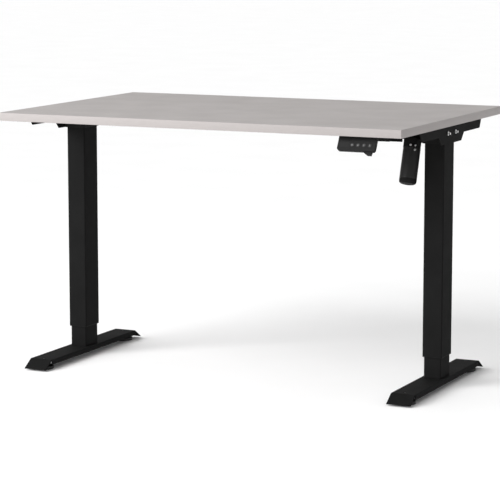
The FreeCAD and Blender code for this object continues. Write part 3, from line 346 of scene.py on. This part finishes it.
def powderCoat():
    # matt black powder coat: fine orange peel, a little unevenness, rubbed patches slightly smoother
    look = coatLook
    material, tree, shader = newFinish("blackPowderCoat", Specular_IOR_Level=0.06)
    patches = grain(tree, 12.0, 4, 0.6)
    tree.links.new(tint(tree, patches, look["dark"], look["light"]), shader.inputs["Base Color"])
    peel = grain(tree, look["fleck"], 2, 0.5)
    wave = grain(tree, look["wave"], 1, 0.4)
    height = put(tree, "ShaderNodeMath", {0: peel, 1: wave}, {"operation": "ADD"}).outputs[0]
    tree.links.new(between(tree, patches, 0.66, 0.78), shader.inputs["Roughness"])
    relief(tree, shader, height, look["relief"], 0.55)
    return material


def satinPaint():
    # smooth satin paint on drawn steel, with faint lines round the can
    material, tree, shader = newFinish("satinBlackPaint", Specular_IOR_Level=0.26)
    lines = grain(tree, 420.0, 2, 0.5, (0.15, 0.15, 1))
    tree.links.new(tint(tree, grain(tree, 30.0, 3), grey(0.011), grey(0.015)), shader.inputs["Base Color"])
    tree.links.new(between(tree, lines, 0.44, 0.54), shader.inputs["Roughness"])
    relief(tree, shader, lines, 0.03 * mm, 0.5)
    return material


def casting():
    material, tree, shader = newFinish("blackCasting", Specular_IOR_Level=0.08)
    sand = grain(tree, 620.0, 5, 0.7)
    tree.links.new(tint(tree, sand, grey(0.006), grey(0.011)), shader.inputs["Base Color"])
    tree.links.new(between(tree, sand, 0.55, 0.70), shader.inputs["Roughness"])
    relief(tree, shader, sand, 0.18 * mm, 0.6)
    return material


def mouldedPlastic(name, dark, light, rough, specular, depth=0.05 * mm):
    # spark-eroded grain and a trace of flow marks
    material, tree, shader = newFinish(name, Specular_IOR_Level=specular)
    eroded = grain(tree, 1500.0, 3, 0.6)
    flow = grain(tree, 22.0, 3, 0.5, (1, 1, 2.5))
    tree.links.new(tint(tree, flow, dark, light), shader.inputs["Base Color"])
    tree.links.new(between(tree, flow, rough - 0.05, rough + 0.05), shader.inputs["Roughness"])
    relief(tree, shader, eroded, depth, 0.5)
    return material


def windowFinish():
    # dark acrylic with a satin hard coat
    material, tree, shader = newFinish("displayWindow", Specular_IOR_Level=0.12)
    haze = grain(tree, 60.0, 3, 0.6)
    tree.links.new(tint(tree, haze, grey(0.006), grey(0.009)), shader.inputs["Base Color"])
    tree.links.new(between(tree, haze, 0.40, 0.48), shader.inputs["Roughness"])
    return material


def metalFinish(name, dark, light, rough, stretch=(1, 1, 1), scale=400.0, depth=0.03 * mm, metallic=1.0):
    # turned or ground metal: fine lines, small stains, roughness that follows them
    material, tree, shader = newFinish(name, Metallic=metallic)
    lines = grain(tree, scale, 3, 0.6, stretch)
    stains = grain(tree, 45.0, 4, 0.6)
    tree.links.new(tint(tree, stains, dark, light, 0.35, 0.7), shader.inputs["Base Color"])
    tree.links.new(between(tree, lines, rough - 0.07, rough + 0.09), shader.inputs["Roughness"])
    relief(tree, shader, lines, depth, 0.5)
    return material


def boardFinish():
    # solder mask over copper tracks
    material, tree, shader = newFinish("circuitBoard", Specular_IOR_Level=0.5)
    where = put(tree, "ShaderNodeTexCoord").outputs["Object"]
    tracks = put(tree, "ShaderNodeTexBrick",
                 {"Vector": where, "Scale": 160.0, "Mortar Size": 0.06, "Color1": (0.012, 0.10, 0.045, 1),
                  "Color2": (0.014, 0.12, 0.05, 1), "Mortar": (0.03, 0.22, 0.09, 1)})
    tree.links.new(tracks.outputs["Color"], shader.inputs["Base Color"])
    tree.links.new(between(tree, grain(tree, 90.0), 0.25, 0.4), shader.inputs["Roughness"])
    relief(tree, shader, tracks.outputs["Fac"], 0.03 * mm, 0.5)
    return material


finishes = {
    "greige_laminate": laminate(),
    "greige_edge_band": edgeBand(),
    "black_powder_coat": powderCoat(),
    "satin_black_paint": satinPaint(),
    "black_casting": casting(),
    "black_plastic": mouldedPlastic("blackPlastic", grey(0.006), grey(0.010), 0.6, 0.1),
    "handset_plastic": mouldedPlastic("handsetPlastic", grey(0.010), grey(0.014), 0.6, 0.1, 0.08 * mm),
    "handset_window": windowFinish(),
    "handset_button": mouldedPlastic("buttonPlastic", grey(0.014), grey(0.018), 0.45, 0.25, 0.02 * mm),
    "pad_plastic": mouldedPlastic("padPlastic", grey(0.016), grey(0.028), 0.5, 0.3),
    "bright_screws": metalFinish("brightZinc", grey(0.72), grey(0.85), 0.28),
    "black_screws": metalFinish("blackOxide", grey(0.03), grey(0.05), 0.42, metallic=0.6),
    "bare_steel": metalFinish("groundSteel", grey(0.40), grey(0.52), 0.33, (1, 1, 12)),
    "gear_steel": metalFinish("sinteredSteel", grey(0.26), grey(0.36), 0.45, scale=900.0),
    "bronze": metalFinish("machinedBronze", (0.42, 0.25, 0.09), (0.55, 0.34, 0.13), 0.32),
    "natural_plastic": mouldedPlastic("naturalAcetal", (0.72, 0.70, 0.64), (0.80, 0.78, 0.73), 0.42, 0.5),
    "magnet": metalFinish("ferriteMagnet", grey(0.035), grey(0.06), 0.55, metallic=0.3),
    "circuit_board": boardFinish(),
}
symbolInk = mouldedPlastic("symbolInk", grey(0.26), grey(0.32), 0.5, 0.2, 0.01 * mm)
for node, slot in slotOf.items():
    paint(frame["nodes"][node], slot)
print("finishes ready:", len(finishes))


tabletopShape = {
    "bandRound": 0.8 * mm,       # radius on the band's outer edges
    "boardRound": 0.15 * mm,     # crisp edge of the laminate beside the band
    "cornerRound": 1.2 * mm,     # upright corners of the band
    "roundSteps": 4,
}


def roundedRectangle(halfX, halfY, radius, steps):
    points = []
    for quarter, (sx, sy) in enumerate(((1, 1), (-1, 1), (-1, -1), (1, -1))):
        for step in range(steps + 1):
            angle = math.pi / 2 * (quarter + step / steps)
            points.append((sx * (halfX - radius) + radius * math.cos(angle),
                           sy * (halfY - radius) + radius * math.sin(angle)))
    return points


def sweptRing(name, halfX, halfY, profile, cornerSteps):
    # a closed ring round the tabletop; the profile gives (distance inside the outer face, height)
    bm = bmesh.new()
    rings = []
    for inset, height in profile:
        corner = max(tabletopShape["cornerRound"] - inset, 0.05 * mm)
        outline = roundedRectangle(halfX - inset, halfY - inset, corner, cornerSteps)
        rings.append([bm.verts.new((x, y, height)) for x, y in outline])
    for index, ring in enumerate(rings):
        follow = rings[(index + 1) % len(rings)]
        for step in range(len(ring)):
            nextStep = (step + 1) % len(ring)
            bm.faces.new((ring[step], ring[nextStep], follow[nextStep], follow[step]))
    bmesh.ops.recalc_face_normals(bm, faces=bm.faces)
    return pieceFrom(bm, name)


def makeTabletop():
    shape = tabletopShape
    low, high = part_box("edge_banding")
    boardLow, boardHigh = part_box("tabletop_board")
    thickness = high.x - boardHigh.x
    bend = shape["bandRound"]
    profile = [(thickness, low.z), (bend, low.z)]
    for step in range(1, shape["roundSteps"] + 1):
        angle = math.pi / 2 * step / shape["roundSteps"]
        profile.append((bend - bend * math.sin(angle), low.z + bend - bend * math.cos(angle)))
    profile += [(inset, low.z + high.z - height) for inset, height in reversed(profile)]
    band = sweptRing("edge_band", high.x, high.y, profile, shape["roundSteps"])
    smoothBelow(band, 30)
    standFor(band, "edge_banding")
    bm = bmesh.new()
    bmesh.ops.create_cube(bm, size=1.0)
    for vertex in bm.verts:
        for i in range(3):
            vertex.co[i] = boardHigh[i] if vertex.co[i] > 0 else boardLow[i]
    board = pieceFrom(bm, "tabletop_panel")
    softenEdges(board, shape["boardRound"])
    standFor(board, "tabletop_board")


makeTabletop()
print("tabletop done")


tubeShape = {"wall": 1.5 * mm, "corner": 4.0 * mm, "cornerSteps": 8, "endRound": 0.35 * mm}


def groupInput(tree, name, kind, value):
    socket = tree.interface.new_socket(name, in_out="INPUT", socket_type=kind)
    if value is not None:
        socket.default_value = value
    return socket.identifier


def tubeTree():
    tree = bpy.data.node_groups.new("rectangularTube", "GeometryNodeTree")
    tree.interface.new_socket("Geometry", in_out="OUTPUT", socket_type="NodeSocketGeometry")
    ids = {}
    for name in ("Width", "Depth", "Wall", "Corner Radius", "Length"):
        ids[name] = groupInput(tree, name, "NodeSocketFloat", 0.01)
    ids["Foot"] = groupInput(tree, "Foot", "NodeSocketVector", (0, 0, 0))
    ids["Finish"] = groupInput(tree, "Finish", "NodeSocketMaterial", None)
    given = put(tree, "NodeGroupInput").outputs

    def less(first, second):
        return put(tree, "ShaderNodeMath", {0: first, 1: second}, {"operation": "SUBTRACT"}).outputs[0]

    def outlineOf(width, depth, radius):
        shape = put(tree, "GeometryNodeCurvePrimitiveQuadrilateral", {"Width": width, "Height": depth})
        return put(tree, "GeometryNodeFilletCurve",
                   {"Curve": shape.outputs[0], "Radius": radius, "Count": tubeShape["cornerSteps"]},
                   {"mode": "POLY"}).outputs[0]

    twice = put(tree, "ShaderNodeMath", {0: given["Wall"], 1: 2.0}, {"operation": "MULTIPLY"}).outputs[0]
    outside = outlineOf(given["Width"], given["Depth"], given["Corner Radius"])
    inside = outlineOf(less(given["Width"], twice), less(given["Depth"], twice),
                       less(given["Corner Radius"], given["Wall"]))
    both = put(tree, "GeometryNodeJoinGeometry")
    tree.links.new(outside, both.inputs[0])
    tree.links.new(inside, both.inputs[0])
    wall = put(tree, "GeometryNodeFillCurve", {"Curve": both.outputs[0]}, {"mode": "TRIANGLES"})
    rise = put(tree, "ShaderNodeCombineXYZ", {"Z": given["Length"]})
    drawn = put(tree, "GeometryNodeExtrudeMesh", {"Mesh": wall.outputs[0], "Offset": rise.outputs[0],
                                                  "Individual": False})
    floor = put(tree, "GeometryNodeFlipFaces", {"Mesh": wall.outputs[0]})
    whole = put(tree, "GeometryNodeJoinGeometry")
    tree.links.new(drawn.outputs["Mesh"], whole.inputs[0])
    tree.links.new(floor.outputs[0], whole.inputs[0])
    welded = put(tree, "GeometryNodeMergeByDistance", {"Geometry": whole.outputs[0], "Distance": 0.01 * mm})
    moved = put(tree, "GeometryNodeTransform", {"Geometry": welded.outputs[0], "Translation": given["Foot"]})
    real = put(tree, "GeometryNodeRealizeInstances", {"Geometry": moved.outputs[0]})
    finished = put(tree, "GeometryNodeSetMaterial",
                   {"Geometry": real.outputs[0], "Material": given["Finish"]})
    put(tree, "NodeGroupOutput", {"Geometry": finished.outputs[0]})
    return tree, ids


def closedOutward(piece):
    bm = bmesh.new()
    bm.from_mesh(piece.data)
    bmesh.ops.remove_doubles(bm, verts=bm.verts, dist=0.002 * mm)
    bmesh.ops.dissolve_limit(bm, angle_limit=math.radians(0.5), verts=bm.verts, edges=bm.edges)
    bmesh.ops.recalc_face_normals(bm, faces=bm.faces)
    bm.to_mesh(piece.data)
    bm.free()


def makeTube(node, tree, ids):
    low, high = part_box(node)
    size = high - low
    piece = newPiece(node + "_drawn", bpy.data.meshes.new(node + "_drawn"))
    drawing = piece.modifiers.new("tube", "NODES")
    drawing.node_group = tree
    values = {"Width": size.x, "Depth": size.y, "Length": size.z,
              "Wall": tubeShape["wall"], "Corner Radius": tubeShape["corner"],
              "Foot": ((low.x + high.x) / 2, (low.y + high.y) / 2, low.z), "Finish": finishes[slotOf[node]]}
    for name, value in values.items():
        drawing[ids[name]] = value
    plainMesh(piece)
    closedOutward(piece)
    softenEdges(piece, tubeShape["endRound"])
    return standFor(piece, node)


tubeGroup, tubeIds = tubeTree()
for side in sides:
    for part in ("_outer_tube", "_inner_tube"):
        makeTube(side + part, tubeGroup, tubeIds)
print("columns done")


# folded sheet, castings and housings keep their CAD shape and get worked edges
edgeRadius = {
    "side_bracket": 0.5 * mm, "foot": 0.6 * mm, "beam_channel": 0.4 * mm, "gear_head": 0.9 * mm,
    "beam_slide_rail": 0.4 * mm, "motor_bracket": 0.5 * mm, "column_glides": 0.35 * mm,
    "gearbox_housing": 0.7 * mm, "gearbox_cover": 0.5 * mm, "control_box_base": 0.8 * mm,
    "control_box_cover": 0.5 * mm, "handset_back": 0.7 * mm, "handset_face": 0.25 * mm,
    "handset_window": 0.12 * mm, "power_inlet": 0.25 * mm, "control_sockets": 0.25 * mm,
}
buttonEdge = 0.08 * mm
for node in sorted(slotOf):
    kind = node.replace("left_", "").replace("right_", "")
    if kind in edgeRadius:
        refined(node, edgeRadius[kind])
for index in range(1, 5):
    refined("button_%d" % index, buttonEdge)
print("sheet metal and housings done")


motorShape = {
    "canWall": 2.0 * mm, "canLip": 0.8 * mm, "grooveFromEnd": 5.0 * mm, "grooveDepth": 0.5 * mm,
    "grooveHalf": 0.9 * mm, "seam": 0.35 * mm, "steps": 96,
    # end cap: seat for the tail of the shaft inside, a ring pressed in round the middle outside
    "capRound": 8.0 * mm, "seatRadius": 3.6 * mm, "seatDepth": 4.0 * mm, "ringRadius": 6.5 * mm,
    "ringDepth": 0.9 * mm, "ringLip": 0.6 * mm, "ringFloor": 1.6 * mm, "ringRise": 2.0 * mm,
    "middleSunk": 0.3 * mm,
}


def makeMotor():
    shape = motorShape
    start = Vector(jointOf["rotor_turn"]["pos_m"])
    axis = Vector(jointOf["rotor_turn"]["axis"])
    low, high, radius = spanAlong("motor_can", start, axis)
    inner = radius - shape["canWall"]
    lip = shape["canLip"]
    profile = [(inner, low)]
    profile += arc((radius - lip, low + lip), lip, -90, 0, 4)
    for middle in (low + shape["grooveFromEnd"], high - shape["grooveFromEnd"]):
        half, depth = shape["grooveHalf"], shape["grooveDepth"]
        profile += [(radius, middle - half), (radius - depth, middle - half / 3),
                    (radius - depth, middle + half / 3), (radius, middle + half)]
    profile += arc((radius - shape["seam"], high - shape["seam"]), shape["seam"], 0, 90, 2)
    profile += [(inner, high)]
    can = smoothBelow(lathe("motor_can_turned", profile, start, axis, shape["steps"]), 32)
    standFor(can, "motor_can")
    low, high, radius = spanAlong("motor_end_cap", start, axis)
    bend = shape["capRound"]
    seat, depth = shape["seatRadius"], shape["seatDepth"]
    profile = [(0, low + depth), (seat, low + depth), (seat, low), (radius - shape["seam"], low)]
    profile += [(radius, low + shape["seam"])]
    profile += arc((radius - bend, high - bend), bend, 0, 90, 12)
    ring, sunk, middle = shape["ringRadius"], high - shape["ringDepth"], high - shape["middleSunk"]
    profile += [(ring + shape["ringLip"], high), (ring, sunk), (ring - shape["ringFloor"], sunk)]
    profile += [(ring - shape["ringRise"], middle), (0, middle)]
    cap = smoothBelow(lathe("motor_end_cap_moulded", profile, start, axis, shape["steps"]), 32)
    standFor(cap, "motor_end_cap")


makeMotor()
print("motor done")


padShape = {
    "padHeight": 9.0 * mm, "hubRadius": 8.0 * mm, "hubHeight": 3.0 * mm, "studRadius": 4.0 * mm,
    "hubFoot": 1.2 * mm, "rimSlope": 0.6 * mm, "studSunk": 0.2 * mm,
    "topRound": 2.5 * mm, "heelRound": 1.0 * mm, "rimWidth": 3.0 * mm, "rimStep": 0.5 * mm,
    "hubRound": 0.8 * mm, "threadPitch": 1.25 * mm, "threadDepth": 0.68 * mm,
    "steps": 72, "threadSteps": 24,
}


def padProfile(low, high, radius):
    shape = padShape
    hubRadius = shape["hubRadius"]
    top = high - shape["hubHeight"]
    bend, heel = shape["topRound"], shape["heelRound"]
    profile = [(0, low), (radius - heel, low)]
    profile += arc((radius - heel, low + heel), heel, -90, 0, 4)
    profile += arc((radius - bend, top - bend), bend, 0, 90, 6)
    rim = radius - bend - shape["rimWidth"]
    profile += [(rim, top), (rim - shape["rimSlope"], top - shape["rimStep"]),
                (hubRadius + shape["hubFoot"], top - shape["rimStep"]), (hubRadius, top)]
    profile += arc((hubRadius - shape["hubRound"], high - shape["hubRound"]), shape["hubRound"], 0, 90, 3)
    return profile + [(0, high)]


def threadedStud(name, x, y, radius, low, high):
    # a helical ridge: each column of points starts a little higher, and the last joins the first one turn up
    shape = padShape
    pitch, steps = shape["threadPitch"], shape["threadSteps"]
    turns = int((high - low) / pitch) + 2
    bm = bmesh.new()
    columns = []
    for step in range(steps + 1):
        angle = 2 * math.pi * step / steps
        column = []
        for row in range(2 * turns + 1):
            height = low + pitch * (row / 2 + step / steps - 1)
            inside = low < height < high
            reach = radius - (shape["threadDepth"] if row % 2 or not inside else 0.0)
            height = min(max(height, low), high)
            column.append(bm.verts.new((x + reach * math.cos(angle), y + reach * math.sin(angle), height)))
        columns.append(column)
    for step in range(steps):
        here, there = columns[step], columns[step + 1]
        for row in range(2 * turns):
            bm.faces.new((here[row], there[row], there[row + 1], here[row + 1]))
    bmesh.ops.remove_doubles(bm, verts=bm.verts, dist=0.005 * mm)
    bmesh.ops.dissolve_degenerate(bm, dist=0.005 * mm, edges=bm.edges)
    rims = [edge for edge in bm.edges if edge.is_boundary]
    bmesh.ops.holes_fill(bm, edges=rims, sides=0)
    bmesh.ops.recalc_face_normals(bm, faces=bm.faces)
    return smoothBelow(pieceFrom(bm, name), 25)


def makeLevellingFeet():
    shape = padShape
    for side in sides:
        for end in ends:
            node = "%s_%s_levelling_foot" % (side, end)
            body = bodyOf[node]
            low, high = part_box(node)
            centre = (low + high) / 2
            radius = (high.x - low.x) / 2
            hubTop = low.z + shape["padHeight"] + shape["hubHeight"]
            profile = padProfile(low.z, hubTop, radius)
            place = (centre.x, centre.y, 0)
            pad = lathe("%s_%s_pad_moulded" % (side, end), profile, place, (0, 0, 1), shape["steps"])
            smoothBelow(pad, 32)
            standFor(pad, node)
            stud = threadedStud("%s_%s_stud" % (side, end), centre.x, centre.y, shape["studRadius"],
                                hubTop - shape["studSunk"], high.z)
            standFor(stud, body=body, slot="bare_steel")


makeLevellingFeet()
print("levelling feet done")


screwShape = {
    "sides": 32, "shankSides": 20, "crownSteps": 5, "flatShare": 0.45,   # flat top, as a share of the head
    "crossLength": 2.0, "crossWidth": 0.42,                              # as shares of the recess size
}


def screwTree(name, recess):
    # a round head with a hexagon or cross recess, set on every point and turned the way it faces
    tree = bpy.data.node_groups.new(name, "GeometryNodeTree")
    tree.interface.new_socket("Geometry", in_out="OUTPUT", socket_type="NodeSocketGeometry")
    ids = {}
    ids["Geometry"] = groupInput(tree, "Geometry", "NodeSocketGeometry", None)
    for key in ("Head Radius", "Head Height", "Rim Share", "Recess Size", "Recess Depth", "Shank Radius",
                "Shank Length"):
        ids[key] = groupInput(tree, key, "NodeSocketFloat", 0.001)
    ids["Sides"] = groupInput(tree, "Sides", "NodeSocketInt", 32)
    ids["Finish"] = groupInput(tree, "Finish", "NodeSocketMaterial", None)
    given = put(tree, "NodeGroupInput").outputs

    def times(first, second):
        return put(tree, "ShaderNodeMath", {0: first, 1: second}, {"operation": "MULTIPLY"}).outputs[0]

    def upwards(amount):
        return put(tree, "ShaderNodeCombineXYZ", {"Z": amount}).outputs[0]

    base = put(tree, "GeometryNodeMeshCircle", {"Vertices": given["Sides"], "Radius": given["Head Radius"]},
               {"fill_type": "NGON"}).outputs[0]
    rim = times(given["Head Height"], given["Rim Share"])
    crown = put(tree, "ShaderNodeMath", {0: given["Head Height"], 1: rim},
                {"operation": "SUBTRACT"}).outputs[0]
    body = put(tree, "GeometryNodeExtrudeMesh",
               {"Mesh": base, "Individual": False, "Offset": upwards(rim)})
    mesh, top = body.outputs["Mesh"], body.outputs["Top"]
    lastShare = 1.0
    flat, steps = screwShape["flatShare"], screwShape["crownSteps"]
    for level in range(1, steps + 1):  # the crown is a quarter of an ellipse, from rim to flat
        angle = math.pi / 2 * level / steps
        share = flat + (1 - flat) * math.cos(angle)
        lift = math.sin(angle) - math.sin(math.pi / 2 * (level - 1) / steps)
        raised = put(tree, "GeometryNodeExtrudeMesh", {"Mesh": mesh, "Selection": top, "Individual": False,
                                                       "Offset": upwards(times(crown, lift))}).outputs
        top = raised["Top"]
        mesh = put(tree, "GeometryNodeScaleElements", {"Geometry": raised["Mesh"], "Selection": top,
                                                       "Scale": share / lastShare}).outputs[0]
        lastShare = share
    seat = put(tree, "GeometryNodeFlipFaces", {"Mesh": base})
    head = put(tree, "GeometryNodeJoinGeometry")
    tree.links.new(mesh, head.inputs[0])
    tree.links.new(seat.outputs[0], head.inputs[0])
    closed = put(tree, "GeometryNodeMergeByDistance", {"Geometry": head.outputs[0], "Distance": 0.002 * mm})
    cutters = []
    if recess == "hexagon":
        tool = put(tree, "GeometryNodeMeshCylinder", {"Vertices": 6, "Radius": given["Recess Size"],
                                                      "Depth": times(given["Recess Depth"], 2.0)})
        cutters.append(tool.outputs["Mesh"])
    else:
        longer, shorter = screwShape["crossLength"], screwShape["crossWidth"]
        for along, across in ((longer, shorter), (shorter, longer)):
            size = put(tree, "ShaderNodeCombineXYZ", {"X": times(given["Recess Size"], along),
                                                      "Y": times(given["Recess Size"], across),
                                                      "Z": times(given["Recess Depth"], 2.0)})
            cutters.append(put(tree, "GeometryNodeMeshCube", {"Size": size.outputs[0]}).outputs["Mesh"])
    carved = closed.outputs[0]
    for tool in cutters:
        placed = put(tree, "GeometryNodeTransform",
                     {"Geometry": tool, "Translation": upwards(given["Head Height"])})
        difference = put(tree, "GeometryNodeMeshBoolean", {"Mesh 1": carved},
                         {"operation": "DIFFERENCE", "solver": "EXACT"})
        tree.links.new(placed.outputs[0], difference.inputs["Mesh 2"])
        carved = difference.outputs["Mesh"]
    shank = put(tree, "GeometryNodeMeshCylinder", {"Vertices": screwShape["shankSides"],
                                                   "Radius": given["Shank Radius"],
                                                   "Depth": given["Shank Length"]})
    sunk = put(tree, "GeometryNodeTransform", {"Geometry": shank.outputs["Mesh"],
                                               "Translation": upwards(times(given["Shank Length"], -0.5))})
    screw = put(tree, "GeometryNodeJoinGeometry")
    tree.links.new(carved, screw.inputs[0])
    tree.links.new(sunk.outputs[0], screw.inputs[0])
    facing = put(tree, "GeometryNodeInputNamedAttribute", {"Name": "facing"}, {"data_type": "FLOAT_VECTOR"})
    spin = put(tree, "FunctionNodeAlignRotationToVector", {"Vector": facing.outputs[0]}, {"axis": "Z"})
    copies = put(tree, "GeometryNodeInstanceOnPoints",
                 {"Points": given["Geometry"], "Instance": screw.outputs[0], "Rotation": spin.outputs[0]})
    real = put(tree, "GeometryNodeRealizeInstances", {"Geometry": copies.outputs[0]})
    finished = put(tree, "GeometryNodeSetMaterial",
                   {"Geometry": real.outputs[0], "Material": given["Finish"]})
    put(tree, "NodeGroupOutput", {"Geometry": finished.outputs[0]})
    return tree, ids


screwSets = {  # rim, recess, depth and shank are shares of the head; length is the shank's own
    "frame_screws": {"recess": "hexagon", "rim": 0.3, "size": 0.42, "depth": 0.55, "shank": 0.55,
                     "length": 5.5 * mm},
    "tabletop_screws": {"recess": "cross", "rim": 0.4, "size": 0.5, "depth": 0.5, "shank": 0.44,
                        "length": 11.0 * mm},
    "gearbox_screws": {"recess": "cross", "rim": 0.35, "size": 0.5, "depth": 0.5, "shank": 0.5,
                       "length": 5.0 * mm},
}
for side in sides:
    screwSets[side + "_foot_bolts"] = {"recess": "hexagon", "rim": 0.8, "size": 0.5, "depth": 0.5,
                                       "shank": 0.6, "length": 9.8 * mm}


def makeScrews(trees):
    rotor = jointOf["rotor_turn"]
    motorSpindle = (Vector(rotor["pos_m"]), Vector(rotor["axis"]))
    for node, values in screwSets.items():
        seats = screwSeats(node, motorSpindle if node == "gearbox_screws" else None)
        points = newPiece(node + "_set", bpy.data.meshes.new(node + "_set"))
        points.data.from_pydata([seat[0] for seat in seats], [], [])
        facing = points.data.attributes.new("facing", "FLOAT_VECTOR", "POINT")
        for index, seat in enumerate(seats):
            facing.data[index].vector = seat[1]
        radius, height = min(seats, key=lambda seat: seat[2])[2:]
        tree, ids = trees[values["recess"]]
        heads = points.modifiers.new("screws", "NODES")
        heads.node_group = tree
        chosen = {"Head Radius": radius, "Head Height": height, "Rim Share": values["rim"],
                  "Recess Size": radius * values["size"], "Recess Depth": height * values["depth"],
                  "Shank Radius": radius * values["shank"], "Shank Length": values["length"],
                  "Sides": screwShape["sides"], "Finish": finishes[slotOf[node]]}
        for name, value in chosen.items():
            heads[ids[name]] = value
        plainMesh(points)
        smoothBelow(points, 28)
        standFor(points, node)
        print(node, len(seats), "screws")


makeScrews({"hexagon": screwTree("hexagonSocketScrews", "hexagon"),
            "cross": screwTree("crossRecessScrews", "cross")})
print("screws done")


symbolShape = {
    "size": 5.2 * mm, "stroke": 0.9 * mm, "proud": 0.06 * mm, "sunk": 0.01 * mm,
    "armShare": 1.3, "textShare": 1.25,   # upright width of a chevron's arm, height of a number
    "kinds": ("up", "down", "1", "2"),
}


def chevron(size, stroke, upward):
    # outline of a chevron, centred on the button
    half, rise = size / 2, size / 4
    drop = stroke * symbolShape["armShare"]
    points = [(-half, -rise), (0, rise), (half, -rise), (half, -rise - drop), (0, rise - drop),
              (-half, -rise - drop)]
    return [(x, y + stroke / 2 if upward else -(y + stroke / 2)) for x, y in points]


def flatSymbol(kind, name):
    shape = symbolShape
    if kind in ("up", "down"):
        bm = bmesh.new()
        corners = [bm.verts.new((x, y, 0)) for x, y in chevron(shape["size"], shape["stroke"], kind == "up")]
        left = bm.faces.new((corners[0], corners[1], corners[4], corners[5]))
        right = bm.faces.new((corners[1], corners[2], corners[3], corners[4]))
        raised = bmesh.ops.extrude_face_region(bm, geom=[left, right])["geom"]
        for item in raised:
            if isinstance(item, bmesh.types.BMVert):
                item.co.z = shape["proud"]
        bmesh.ops.recalc_face_normals(bm, faces=bm.faces)
        return pieceFrom(bm, name)
    text = bpy.data.curves.new(name, "FONT")
    text.body = kind
    text.size = shape["size"] * shape["textShare"]
    text.align_x = "CENTER"
    text.align_y = "CENTER"
    text.extrude = shape["proud"] / 2
    writer = newPiece(name + "_text", text)
    bpy.context.view_layer.update()
    depsgraph = bpy.context.evaluated_depsgraph_get()
    mesh = bpy.data.meshes.new_from_object(writer.evaluated_get(depsgraph), depsgraph=depsgraph)
    bpy.data.objects.remove(writer)
    mesh.transform(Matrix.Translation((0, 0, shape["proud"] / 2)))
    return newPiece(name, mesh)


def makeSymbols():
    for index, kind in enumerate(symbolShape["kinds"], 1):
        node = "button_%d" % index
        outward = -Vector(jointOf[node + "_press"]["axis"])
        low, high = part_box(node)
        centre = (low + high) / 2
        reach = max((vertex.co - centre).dot(outward) for vertex in frame["nodes"][node].data.vertices)
        upward = outward.cross(Vector((1, 0, 0)))
        spot = centre + outward * (reach - symbolShape["sunk"])
        symbol = flatSymbol(kind, node + "_symbol")
        turn = Matrix((Vector((1, 0, 0)), upward, outward)).transposed().to_4x4()
        symbol.data.transform(Matrix.Translation(spot) @ turn)
        symbol.data.materials.clear()
        symbol.data.materials.append(symbolInk)
        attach(symbol, bodyOf[node])


makeSymbols()
print("handset done")


stageLook = {
    "floorSize": 200.0, "floorDrop": 0.2 * mm, "floorTone": grey(0.93), "floorCloud": grey(0.95),
    "ambient": (1.02, 0.42), "brightSide": (-0.85, -0.52, 0.0), "backdrop": 1.02,  # bright side, far side
    "skyFrom": (-0.36, -0.80, 0.48), "skyPower": 2.3, "skySpread": 50.0,   # broad even key light
    "boxPlace": (-1.5, -1.8, 1.7), "boxSize": (1.4, 1.0), "boxPower": 24.0,  # small soft box, front left
    "aim": (0.0, 0.0, 0.6),
}


def hangLight(name, kind, power, place, aim):
    light = bpy.data.lights.new(name, kind)
    light.energy = power
    lamp = bpy.data.objects.new(name, light)
    lamp.location = place
    lamp.rotation_mode = "QUATERNION"
    lamp.rotation_quaternion = (Vector(aim) - Vector(place)).to_track_quat("-Z", "Y")
    bpy.context.scene.collection.objects.link(lamp)
    return light


def makeStage():
    look = stageLook
    half = look["floorSize"] / 2
    bm = bmesh.new()
    level = cadLow.z - look["floorDrop"]
    outline = ((-half, -half), (half, -half), (half, half), (-half, half))
    bm.faces.new([bm.verts.new((x, y, level)) for x, y in outline])
    floor = pieceFrom(bm, "studio_floor")
    material, tree, shader = newFinish("paleFloor", Specular_IOR_Level=0.1, Roughness=0.8)
    clouds = tint(tree, grain(tree, 3.0), look["floorTone"], look["floorCloud"])
    tree.links.new(clouds, shader.inputs["Base Color"])
    floor.data.materials.append(material)
    key = hangLight("keyLight", "SUN", look["skyPower"], look["skyFrom"], (0, 0, 0))
    key.angle = math.radians(look["skySpread"])
    softBox = hangLight("softBox", "AREA", look["boxPower"], look["boxPlace"], look["aim"])
    softBox.shape = "RECTANGLE"
    softBox.size, softBox.size_y = look["boxSize"]
    world = bpy.data.worlds.new("studio")
    world.use_nodes = True
    tree = world.node_tree
    tree.nodes.clear()
    # the studio is brighter towards one side; what the camera sees behind the desk stays even
    toward = put(tree, "ShaderNodeTexCoord").outputs["Generated"]
    side = put(tree, "ShaderNodeVectorMath", {0: toward, 1: look["brightSide"]},
               {"operation": "DOT_PRODUCT"}).outputs["Value"]
    bright, dim = look["ambient"]
    ambient = between(tree, side, dim, bright, -1.0, 1.0)
    path = put(tree, "ShaderNodeLightPath")
    strength = between(tree, path.outputs["Is Camera Ray"], ambient, look["backdrop"], 0.0, 1.0)
    background = put(tree, "ShaderNodeBackground", {"Color": (1, 1, 1, 1), "Strength": strength})
    put(tree, "ShaderNodeOutputWorld", {"Surface": background.outputs[0]})
    bpy.context.scene.world = world
    bpy.context.scene.view_settings.view_transform = "Standard"


cameraPlace = {"location": (2.6591, -5.7248, 1.2980), "yaw": 25.024, "pitch": 8.570, "lens": 161.051}


def makeCamera():
    data = bpy.data.cameras.new("viewer")
    data.sensor_width = 36.0
    data.lens = cameraPlace["lens"]
    data.dof.use_dof = False
    camera = bpy.data.objects.new("viewer", data)
    camera.location = cameraPlace["location"]
    camera.rotation_euler = (math.radians(90 - cameraPlace["pitch"]), 0, math.radians(cameraPlace["yaw"]))
    bpy.context.scene.collection.objects.link(camera)
    bpy.context.scene.camera = camera


makeStage()
makeCamera()
print("stage and camera ready")
